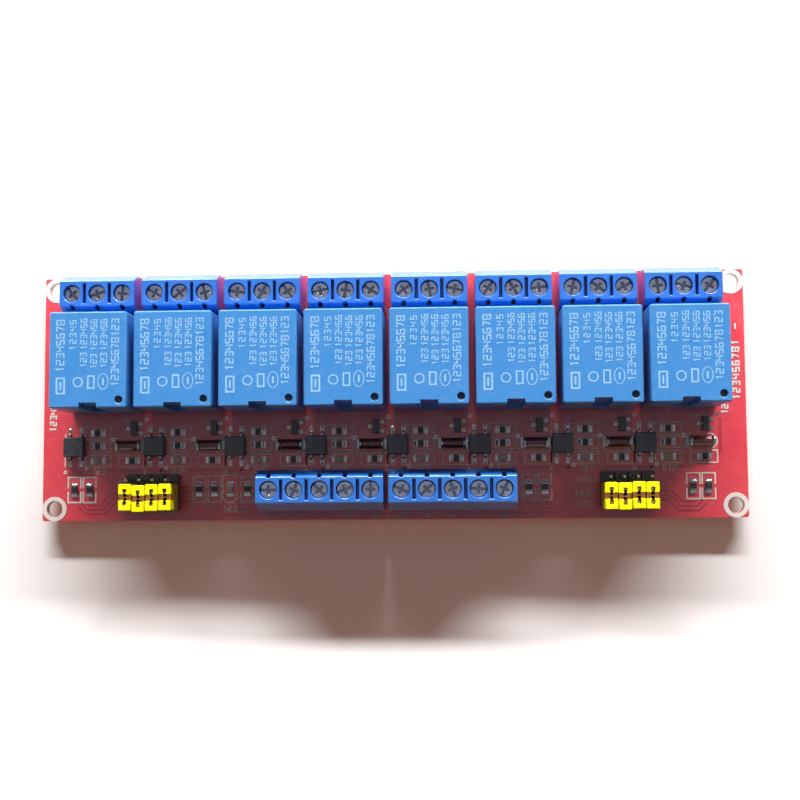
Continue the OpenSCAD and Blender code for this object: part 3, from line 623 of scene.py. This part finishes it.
def chip_ends():
    """Every two-ended chip and lamp as (middle, unit vector along it, half length, width, height)."""
    found = []
    for lo, hi in np.concatenate([solids_of("resistor_chips"), solids_of("lamp_bases")]):
        size = hi - lo
        along = np.array([1.0, 0.0]) if size[0] > size[1] else np.array([0.0, 1.0])
        found.append(((lo + hi)[:2] / 2, along, size[:2].max() / 2, size[:2].min(), hi[2] - BOARD_TOP))
    return found


def wedge(batch, foot, out, reach, height, width):
    """Solder at the end of a chip: a hollow slope that falls to 0.55, 0.22 and none of its height at 0.12,
    0.38 and all of its reach, carried across the pad's width."""
    across = np.array([-out[1], out[0]])
    run = np.array([0.0, 0.0, 0.12, 0.38, 1.0])
    tall = np.array([0.0, 1.0, 0.55, 0.22, 0.0])
    rows = []
    for side, shrink in ((-1, 0.85), (-0.8, 1.0), (0.8, 1.0), (1, 0.85)):
        xy = foot + across * side * width / 2 + np.outer(run * reach * shrink, out)
        rows.append(np.column_stack([xy, BOARD_TOP + COPPER + tall * height * shrink]))
    points = np.array(rows)
    batch.add(points, grid_faces(4, 5)[:, ::-1], [[0, 1, 2, 3, 4]], [[19, 18, 17, 16, 15]])


def lead_ends(node, axis, middle_of):
    """Every bent lead of a node as (toe, unit vector away from its body, length, width)."""
    found = []
    for lo, hi in solids_of(node):
        centre, size = (lo + hi)[:2] / 2, hi - lo
        out = np.zeros(2)
        out[axis] = 1.0 if centre[axis] > middle_of(centre) else -1.0
        found.append((centre + out * size[axis] / 2, out, size[axis], size[1 - axis]))
    return found


def make_pads():
    """Tinned pads of the chips and leads, with the solder that climbs their ends."""
    pads, solder = Batch(), Batch()

    def pad(start, end, width):
        ribbon(pads, [start, end], width, BOARD_TOP, COPPER)

    for middle, along, half, width, height in chip_ends():
        for out in (-along, along):
            end = middle + out * half
            pad(end - out * 0.45, end + out * 0.55, width + 0.16)
            wedge(solder, end, out, 0.45, height * 0.8, width * 0.92)
    rows = solids_of("optocoupler_leads").mean(1)[:, 1]
    opto_middle = (rows.min() + rows.max()) / 2
    bodies = solids_of("transistors").mean(1)[:, 0]
    leads = lead_ends("optocoupler_leads", 1, lambda centre: opto_middle)
    leads += lead_ends("transistor_leads", 0, lambda centre: bodies[np.argmin(np.abs(bodies - centre[0]))])
    for toe, out, length, width in leads:
        pad(toe - out * length * 0.62, toe + out * 0.38, width + 0.28)
        wedge(solder, toe, out, 0.3, 0.16, width)
    for lo, hi in solids_of("diode_end_caps"):
        centre = (lo + hi)[:2] / 2
        pad(centre + [-0.75, 0], centre + [0.75, 0], 2.1)
        for out in (np.array([0.0, 1.0]), np.array([0.0, -1.0])):
            wedge(solder, centre + out * 0.35, out, 0.6, 0.35, (hi - lo)[0])
    pads.make("chip_pads", FINISH["solder"], "solder")
    solder.make("chip_solder", FINISH["solder"], "solder", sharp=50)


def make_diodes():
    """Glass-bodied diodes: a tube whose shoulders are quarter circles, a little squashed along it, between
    two metal ends that bulge with the power 0.6 of a sine."""
    tubes, ends = Batch(), Batch()
    shoulder, bulge = 0.35, 0.14
    quarter, half_turn = np.linspace(0, math.pi / 2, 5), np.linspace(0, math.pi, 9)
    for lo, hi in solids_of("diode_bodies"):
        centre, half, r = (lo + hi) / 2, (hi - lo)[0] / 2, (hi - lo)[2] / 2
        rise = r - shoulder * (1 - np.sin(quarter))
        step = half - shoulder * 0.9 + shoulder * 0.9 * np.cos(quarter)
        lathe(tubes, np.append(rise, rise[::-1]), np.append(-step, step[::-1]), centre, sides=28, along="x")
    for lo, hi in solids_of("diode_end_caps"):
        centre, half, r = (lo + hi) / 2, (hi - lo)[0] / 2, (hi - lo)[2] / 2
        radius = r - bulge + bulge * np.sin(half_turn) ** 0.6
        lathe(ends, radius, -half * np.cos(half_turn), centre, sides=28, along="x")
    tubes.make("diode_tubes", FINISH["diode_red"], "diode_red", ("diode_bodies",), sharp=70)
    ends.make("diode_metal_ends", FINISH["tinned_leads"], "tinned_leads", ("diode_end_caps",), sharp=50)


def make_vent_bottoms():
    """Painted shade at the bottom of each vent: a dark turned dish that falls in two steps from its rim to
    its middle, standing in for the shade down in the hole.
    """
    dishes = Batch()
    radius, height = [VENT_R, VENT_R, VENT_R * 0.55, 0.02], [-0.1, 0.12, 0.06, 0.04]
    for lo, hi in relay:
        lathe(dishes, radius, height, (hi[0] - VENT_INSET, lo[1] + VENT_INSET, hi[2] - VENT_DEPTH), sides=24)
    dishes.make("vent_shade_dishes", FINISH["relay_base"], "relay_base")


def make_clip_saddles():
    """Bent bridge over the ears of each spring clip, one in each side window of its cap: an arch whose
    height falls with the square of the distance from its middle, turned down at both rims and closed
    below by a flat floor."""
    saddles = Batch()
    out, half, top_drop, floor_drop = 0.83, 0.40, 0.75, 1.6
    rims = ((-0.46, 0.45), (-0.40, 0.0), (0.40, 0.0), (0.46, 0.45))
    u = np.linspace(-1, 1, 9)
    for k in range(1, CHANNELS + 1):
        lo, hi = box(f"jumper_cap_{k}")
        x, y, top = (lo[0] + hi[0]) / 2, (lo[1] + hi[1]) / 2, hi[2]
        for side in (-1, 1):
            rows = []
            for v, fall in rims:
                arch = top - top_drop - 0.35 * u ** 2 - fall
                upper = np.column_stack([x + side * out + half * u, np.full(9, y + v), arch])
                lower = np.column_stack([x + side * out + half * u[::-1], np.full(9, y + v),
                                         np.full(9, top - floor_drop)])
                rows.append(np.concatenate([upper, lower]))
            saddles.add(np.array(rows)[::-1], grid_faces(4, 18), [np.arange(18)[::-1]], [np.arange(18) + 54])
    saddles.make("clip_saddles", FINISH["clip_bronze"], "clip_bronze", sharp=45)


make_joints()
make_pads()
make_diodes()
make_clip_saddles()
make_vent_bottoms()


# ---------- copper under the mask ----------

# Tracks of one channel: the width, then points from the middle of its relay and the relay's front wall
UPPER_TRACKS = [
    (0.8, [(-8.0, -13.4), (-8.0, -12.2)]),
    (0.4, [(-5.7, -11.6), (-5.7, -12.6), (-4.9, -13.0), (-3.4, -13.0)]),
    (0.5, [(-1.0, -4.1), (1.4, -4.1), (2.6, -2.9), (4.2, -2.9)]),
    (0.5, [(-1.0, -6.8), (0.9, -6.8)]),
    (0.5, [(-0.8, -9.9), (1.6, -9.9), (3.4, -9.9)]),
    (0.6, [(7.2, -9.9), (8.3, -8.8), (8.3, -2.0)]),
    (0.7, [(-4.6, -5.4), (-4.6, -1.0)]),
]
COIL_TRACKS = [
    (0.7, [(-6.0, 3.7), (-6.0, -3.0), (-4.6, -4.4), (-4.6, -11.4)]),
    (0.9, [(6.0, 3.7), (6.0, 1.0), (7.9, -1.3)]),
]
PLATED_HOLES = [(0.9, -5.5), (7.9, -1.3), (-4.6, -11.4)]
# Pins of a relay, from its front and back walls, and the reach of its own pins from its middle
COMMON_PIN_Y, THROW_PIN_Y, RELAY_REACH = 1.7, 3.2, 7.2
COMMON_TRACK, THROW_TRACK = 3.0, 2.6    # widths of the heavy copper to the output ways


def at_channel(x, points):
    """Flat points given from the middle of a relay and its front wall, on the board."""
    return np.array(points) + (x, relay_front)


def parallels(path, pitch, count):
    """Copies of a flat path side by side, each a whole pitch further along its corner bisectors."""
    p = np.asarray(path, float)
    side = offsets(p, False)
    return [p + side * pitch * (k - (count - 1) / 2) for k in range(count)]


def make_tracks():
    """Raised lines of copper on both sides, and the rims of the plated holes between them."""
    top, bottom, rings = Batch(), Batch(), Batch()

    def route(path, width, batch=top):
        z = BOARD_TOP if batch is top else BOARD_BOTTOM - COPPER + 0.001
        ribbon(batch, path, width, z, COPPER * 0.9)

    front = float(headers[0][0][1])
    inputs_left, inputs_right = float(input_left[0][0]), float(input_right[1][0])
    # Four signal tracks from each input block to its headers, low along the front edge
    low, mid = front + 0.6, front + 3.4
    for start, stop, way in ((inputs_right, headers[4][0][0], 1), (inputs_left, headers[3][1][0], -1)):
        path = [(start - way * 3, low), (stop - way * 9.5, low), (stop - way * 6.2, mid),
                (stop + way * 0.5, mid)]
        for track in parallels(path, 0.95 * way, 4):
            route(track, 0.42)
    # Three tracks from the outer side of the headers to the chips by the ends
    for start, way in ((headers[-1][1][0], 1), (headers[0][0][0], -1)):
        path = [(start + way * out, front + back) for out, back in (
            (-1, 2.6), (3.4, 2.6), (5.6, 0.4), (8.8, 0.4), (10, 1.6))]
        for track in parallels(path, 0.9 * way, 3):
            route(track, 0.4)
    rim = COPPER * 1.4
    for x in relay_x:
        for width, points in UPPER_TRACKS:
            route(at_channel(x, points), width)
        for vx, vy in at_channel(x, PLATED_HOLES):
            for z, low, high in ((BOARD_TOP, 0, rim), (BOARD_BOTTOM, -rim, 0)):
                lathe(rings, [0.42, 0.42, 0.2, 0.2], [low, high, high, low], (vx, vy, z),
                      sides=14, ring=True)
    # Supply and return lines along the strip of small parts
    first, last = relay_x[0], relay_x[-1]
    route(at_channel(0, [(first - 4.5, -11.85), (first - 3.6, -11.9), (last + 3.0, -11.9)]), 0.55)
    route(at_channel(0, [(first - 4, -8.35), (last + 2.2, -8.35)]), 0.35)
    # Heavy copper under the relays: common to the middle way, throws to the outer ways
    rows = np.unique(joint_xy[:, 1].round(2))
    for x in relay_x:
        mine = joint_xy[np.abs(joint_xy[:, 0] - x) < RELAY_REACH]
        middle = mine[np.abs(mine[:, 0] - x) < 0.1]
        common = middle[np.argmin(np.abs(middle[:, 1] - relay_front - COMMON_PIN_Y))]
        throws = [p for p in mine if abs(p[1] - (relay_back - THROW_PIN_Y)) < 0.8]
        ways = sorted((p for p in mine if abs(p[1] - rows[-1]) < 0.3), key=lambda p: p[0])
        route([common, (x, ways[1][1])], COMMON_TRACK, bottom)
        for throw, way in zip(sorted(throws, key=lambda p: p[0]), (ways[0], ways[2])):
            path = [throw, (throw[0], way[1] - 2.6), (way[0], way[1] - 1.2), way]
            route(path, THROW_TRACK, bottom)
        for width, points in COIL_TRACKS:
            route(at_channel(x, points), width, bottom)
    # Stubs back from the input pins
    for x, y in joint_xy[np.abs(joint_xy[:, 1] - rows[rows < front + 9].max()) < 4]:
        if inputs_left < x < inputs_right:
            path = [(x, y), (x, relay_front - 9.2), (x + 1.0, relay_front - 8.2)]
            route(path, 0.6, bottom)
    top.make("tracks_top", FINISH["track_red"], "board_red")
    bottom.make("tracks_bottom", FINISH["track_red"], "board_red")
    rings.make("through_plating", FINISH["solder"], "solder")


make_tracks()


# ---------- print on the board ----------

# Ends and corners of the strokes of a numeral, 0.6 wide and 1 high, and the strokes of one to eight
CORNERS = dict(a=(0, 1), b=(0.6, 1), c=(0, 0.5), d=(0.6, 0.5), e=(0, 0), f=(0.6, 0),
               g=(0.15, 0.8), h=(0.35, 1), i=(0.35, 0), j=(0.15, 0.5), k=(0.25, 0))
STROKES = ["ghi", "abdcef", "abfe jd", "acd bf", "bacdfe", "baefdc", "abk", "efbae cd"]
DIGITS = {number: [[CORNERS[letter] for letter in stroke] for stroke in strokes.split()]
          for number, strokes in enumerate(STROKES, 1)}

FRONT_STRIP = 12.5          # parts that lie further than this before the relays stand beside the inputs
LINE, FINE = 0.24, 0.2      # widths of the printed outlines and of small numbers

# Print of one channel, from the middle of its relay and the relay's front wall: outlines by their left,
# low, right and high side, the cut of their corners and which are cut, and open lines by their points
CHIP_OUTLINES = [(-4.8, -5.35, 0.5, -2.85, 0, ()), (-4.8, -8.05, 0.5, -5.65, 0, ()),
                 (-4.8, -11.05, 0.5, -8.65, 0.6, (0, 3)), (2.3, -11.15, 7.7, -8.65, 0, ())]
DIODE_START = [(2.3, -5.25), (1.4, -5.25), (1.4, -8.25), (2.3, -8.25)]
DIODE_END = [(5.6, -8.25), *circle(6.2, -6.75, 1.5, 9, -90, 90), (5.6, -5.25)]
OPTO_SIDE = [(-9.05, -11.1), (-9.05, -4.3)]
TRANSISTOR_CORNERS = [[(4.2, -1.5), (3.6, -1.5), (3.6, -2.3)], [(4.2, -4.9), (3.6, -4.9), (3.6, -4.1)]]

# Rows of numbers on a relay: side and low end of the row, from the same place, its length, the size of a
# number, how many stand in it, and the width of a stroke
RELAY_ROWS = [
    (-4.75, 7.0, 10.6, 1.45, 8, 0.25), (-2.4, 11.3, 6.4, 1.15, 5, FINE),
    (-0.25, 7.9, 3.1, 1.15, 3, FINE), (-0.25, 11.4, 6.4, 1.15, 6, FINE),
    (1.75, 7.6, 3.1, 1.15, 3, FINE), (1.75, 11.2, 6.5, 1.15, 6, FINE),
    (3.75, 7.8, 3.1, 1.15, 3, FINE), (3.75, 11.2, 6.5, 1.15, 6, FINE),
    (6.1, 4.1, 13.6, 1.35, 11, 0.22)]


def digit(batch, number, start, along, size, width, z):
    """Plain numeral in straight strokes from its lower left corner at start, read along a direction and
    laid out as seen from above."""
    along = np.array(along, float)
    up = np.array([-along[1], along[0]])
    for path in DIGITS[number]:
        ribbon(batch, [np.array(start) + along * a * size + up * b * size for a, b in path], width, z, INK)


def filler(batch, start, along, length, size, width, z, count, first=1):
    """Row of plain counting numbers, one to eight over and over, where a label would stand."""
    for k in range(count):
        place = np.array(start, float) + np.array(along, float) * (k + 0.15) * length / count
        digit(batch, (first + k - 1) % len(DIGITS) + 1, place, along, size, width, z)


def outline(batch, left, low, right, high, cut, corners, z):
    """Printed rectangle, with the corners named in order from the lower left cut off."""
    path = []
    for k, (x, y) in enumerate(rectangle(left, low, right, high)):
        if k in corners:
            sx, sy = (1 if k in (0, 3) else -1), (1 if k < 2 else -1)
            two = [(x + sx * cut, y), (x, y + sy * cut)]
            path += two if k in (1, 3) else two[::-1]
        else:
            path.append((x, y))
    ribbon(batch, path, LINE, z, INK, closed=True)


def print_channels(ink, z):
    """Outlines of the chips, the diode, the transistor and the optocoupler, and numbers for the lamp."""
    for k, x in enumerate(relay_x):
        y = relay_front
        for left, low, right, high, cut, corners in CHIP_OUTLINES:
            outline(ink, x + left, y + low, x + right, y + high, cut, corners, z)
        for points in (DIODE_START, DIODE_END, OPTO_SIDE, *TRANSISTOR_CORNERS):
            ribbon(ink, at_channel(x, points), LINE, z, INK)
        filler(ink, (x - 3.5, y - 12.6), (1, 0), 3.1, 1.2, FINE, z, 3, k + 1)
        ribbon(ink, circle(x - 9.0, y - 12.2, 0.28, 10), FINE, z, INK, closed=True)


def print_front_strip(ink, z):
    """Brackets round the chips beside the inputs, and the outline and numbers of the power lamp."""
    half, near, far = 1.32, 0.35, 2.6
    for lo, hi in solids_of("resistor_chips"):
        if hi[1] < relay_front - FRONT_STRIP:
            x, y = (lo + hi)[:2] / 2
            for s in (-1, 1):
                ribbon(ink, [(x - half, y + s * near), (x - half, y + s * far), (x + half, y + s * far),
                             (x + half, y + s * near)], 0.3, z, INK)
    for lo, hi in solids_of("lamp_bases"):
        if hi[1] < relay_front - FRONT_STRIP:
            x, y = (lo + hi)[:2] / 2
            outline(ink, x - 1.4, y - 2.7, x + 1.4, y + 2.9, 0.7, (0, 1), z)
            filler(ink, (x - 1.6, y - 4.55), (1, 0), 3.2, 1.05, 0.22, z, 3)


def print_hole_rings(ink, z):
    """Flat ring round each mounting hole, a little off its edge."""
    for mount in frame["record"]["mounts"]:
        dims = mount["dims"]
        for sx in (-1, 1):
            for sy in (-1, 1):
                middle = (sx * dims["spacing_x_mm"] / 2, sy * dims["spacing_y_mm"] / 2)
                ribbon(ink, circle(*middle, dims["hole_r_mm"] + 0.50, 40), 0.86, z, INK, closed=True)


def print_input_signs(ink, z):
    """A plus and a minus at the supply and a number at each other way, before the input blocks."""
    front, ways = float(input_left[0][1]), 5
    for block, first in ((input_left, -1), (input_right, 4)):
        pitch = float(block[1][0] - block[0][0]) / ways
        for i in range(ways):
            number, x = first + i, float(block[0][0]) + (i + 0.5) * pitch
            if number >= 1:
                digit(ink, number, (x - 0.3, front - 1.45), (1, 0), 1.0, FINE, z)
            else:
                ribbon(ink, [(x - 0.5, front - 0.95), (x + 0.5, front - 0.95)], 0.22, z, INK)
                if number == -1:
                    ribbon(ink, [(x, front - 1.45), (x, front - 0.45)], 0.22, z, INK)


def print_labels(ink, z):
    """Numbers beside the headers and along the two ends of the board."""
    for x in (headers[0][0][0] - 2.6, headers[4][0][0] - 5.4):
        length = 2.6 if x < 0 else 3.6
        for row, count in ((5.2, 4), (2.6, 3), (0.3, 3)):
            filler(ink, (x, float(headers[0][0][1]) + row), (1, 0), length, 1.1, FINE, z, count)
    end = board_hi[0]
    filler(ink, (end - 1.2, relay_front + 1.5), (0, 1), 12.5, 1.3, 0.30, z, 9)
    ribbon(ink, [(end - 1.8, relay_front + 16.0), (end - 1.8, relay_front + 17.2)], 0.3, z, INK)
    filler(ink, (end - 3.7, relay_front - 1.4), (0, 1), 5.4, 1.2, 0.30, z, 5)
    filler(ink, (-end + 2.6, relay_front - 3.8), (0, 1), 9.6, 1.2, 0.30, z, 8)


def make_board_print():
    """Print on the upper side, and outlines of the relays and channel numbers on the solder side."""
    ink, under = Batch(), Batch()
    for draw in (print_channels, print_front_strip, print_hole_rings, print_input_signs, print_labels):
        draw(ink, BOARD_TOP + COPPER)
    ink.make("board_print", FINISH["board_ink"], "lamp_white")
    z = BOARD_BOTTOM - COPPER - INK
    for k, x in enumerate(relay_x):
        sides = rectangle(x - 7.4, relay_front + 0.3, x + 7.4, relay_back - 0.3)
        ribbon(under, sides, 0.25, z, INK, closed=True)
        digit(under, k + 1, (x + 4.0, relay_front + 9.1), (-1, 0), 2.6, 0.4, z)
    under.make("board_print_below", FINISH["board_ink"], "lamp_white")


def make_relay_print():
    """Faint print on each relay: upright rows of counting numbers over four simple signs."""
    ink = Batch()
    z = RELAY_TOP - 0.004
    for x in relay_x:
        y = relay_front
        for side, low, length, size, count, width in RELAY_ROWS:
            filler(ink, (x + side, y + low), (0, 1), length, size, width, z, count)
        ribbon(ink, rectangle(x - 6.1, y + 2.9, x - 4.6, y + 5.9), 0.34, z, INK, closed=True)
        ribbon(ink, [(x - 5.35, y + 3.6), (x - 5.35, y + 5.2)], 0.34, z, INK)
        ribbon(ink, circle(x - 1.9, y + 5.1, 0.9, 16), 0.26, z, INK, closed=True)
        ribbon(ink, rectangle(x + 0.1, y + 3.9, x + 1.3, y + 6.3), 0.3, z, INK, closed=True)
        oval = circle(0, 0, 1.0, 24) * [1.0, 1.55] + [x + 3.1, y + 5.2]
        ribbon(ink, oval, 0.17, z, INK, closed=True)
        ribbon(ink, [(x + 3.1, y + 4.5), (x + 3.1, y + 5.9)], 0.35, z, INK)
    ink.make("relay_print", FINISH["relay_ink"], "lamp_white")


make_board_print()
make_relay_print()


# ---------- floor, light and camera ----------

ROOM_LIGHT = 0.105    # light of the room in the shadows, beside 1 from all lamps together
PIN_GAP = 0.00005     # metres from the tips of the pins down to the floor

CAMERA_PLACE = (0.014248, -0.020981, 0.261240)
CAMERA_RIGHT = (0.99882, -0.00657, -0.04814)
CAMERA_BACK = (0.04748, -0.07773, 0.99584)


def seen_straight(wire, path):
    """1 for rays from the camera, also off metal or through glass, and 0 for light that falls on things."""
    return wire.math("MAXIMUM", path.outputs["Is Camera Ray"], wire.math(
        "MAXIMUM", path.outputs["Is Glossy Ray"], path.outputs["Is Transmission Ray"]))


def stand_at(obj, place, right, back):
    """Puts a lamp or a camera at place, with right to its right and its back along back."""
    turn = Matrix([list(row) for row in np.stack([right, np.cross(back, right), back], 1)])
    obj.matrix_world = Matrix.Translation(place) @ turn.to_4x4()


def make_stage():
    """Pale floor under the pins. Where it is seen straight it glows a little, so that the shadow on it
    is light and warm, and it sends little light back up at the board."""
    side = np.linspace(-3.0, 3.0, 13)
    x, y = np.meshgrid(side, side)
    points = np.stack([x, y, np.zeros_like(x) - PIN_GAP], -1).reshape(-1, 3)
    mesh = bpy.data.meshes.new("floor")
    mesh.from_pydata(points.tolist(), [], grid_faces(13, 13, wrap_cols=False).tolist())
    new_object("floor", mesh)
    material, wire, shader = new_finish("floor_paper", Roughness=0.9, Specular_IOR_Level=0.1)
    tone = use(wire, "tint", {"Colour": rgb(0.96, 0.965, 0.97), "Amount": 0.01, "Size": 40.0})
    path = wire.add("LightPath")
    tone = wire.blend(path.outputs["Is Diffuse Ray"], tone, rgb(0.15, 0.14, 0.135))
    wire.put(shader.inputs["Base Color"], tone)
    wire.put(shader.inputs["Emission Color"], rgb(1.0, 0.40, 0.26))
    wire.put(shader.inputs["Emission Strength"], wire.math("MULTIPLY", seen_straight(wire, path), 0.125))
    mesh.materials.append(material)


def make_world():
    """Dim warm room, darker low down and to the south. Seen straight, in metal or through glass it is
    white from the horizon up to the height of a wall, and darker over that, as under a ceiling."""
    world = bpy.data.worlds.new("room")
    bpy.context.scene.world = world
    world.use_nodes = True
    wire = Wiring(world.node_tree)
    room = world.node_tree.nodes["Background"]
    view = wire.add("SeparateXYZ", {0: wire.add("TexCoord").outputs["Generated"]})
    north, up = view.outputs[1], view.outputs[2]
    warm = wire.blend(wire.band(up, 0.0, 0.9), rgb(0.30, 0.22, 0.19), rgb(1.0, 0.80, 0.73))
    wire.put(room.inputs["Color"], warm)
    north = wire.band(north, -0.7, 0.5)
    strength = wire.math("MULTIPLY_ADD", north, ROOM_LIGHT * 1.5, ROOM_LIGHT * 0.15)
    wire.put(room.inputs["Strength"], strength)
    shade = wire.blend(wire.band(up, 0.15, 0.65), rgb(1, 1, 1), rgb(0.30, 0.33, 0.38))
    white = wire.add("Background", {"Color": shade, "Strength": 1.0})
    seen = seen_straight(wire, wire.add("LightPath"))
    both = wire.add("MixShader", {0: seen, 1: room.outputs[0], 2: white.outputs[0]})
    wire.put(world.node_tree.nodes["World Output"].inputs["Surface"], both.outputs[0])


def add_lamp(name, place, aim, width, height, power, colour=(1, 1, 1)):
    """Rectangular soft light that looks from place at aim, both in metres."""
    data = bpy.data.lights.new(name, "AREA")
    data.shape = "RECTANGLE"
    data.size, data.size_y, data.energy, data.color = width, height, power, colour
    back = np.array(place, float) - np.array(aim, float)
    back /= np.linalg.norm(back)
    right = np.cross([0, 0, 1], back)
    right /= np.linalg.norm(right)
    stand_at(new_object(name, data), place, right, back)


def add_camera():
    """Camera over the front edge, looking almost straight down."""
    data = bpy.data.cameras.new("camera")
    data.lens, data.sensor_width = 56.57, 36.0
    data.clip_start, data.clip_end = 0.01, 20.0
    right, back = np.array(CAMERA_RIGHT), np.array(CAMERA_BACK)
    back /= np.linalg.norm(back)
    right -= back * (right @ back)
    right /= np.linalg.norm(right)
    camera = new_object("camera", data)
    stand_at(camera, CAMERA_PLACE, right, back)
    bpy.context.scene.camera = camera


make_stage()
make_world()
add_lamp("window_strip", (0.06, 1.60, 0.755), (0, 0, 0.01), 2.1, 0.10, 108.0)
add_lamp("room_fill", (0.1, 0.8, 1.5), (0, 0, 0), 1.2, 1.2, 0.2, (1.0, 0.90, 0.84))
add_camera()
bpy.context.scene.view_settings.view_transform = "Standard"
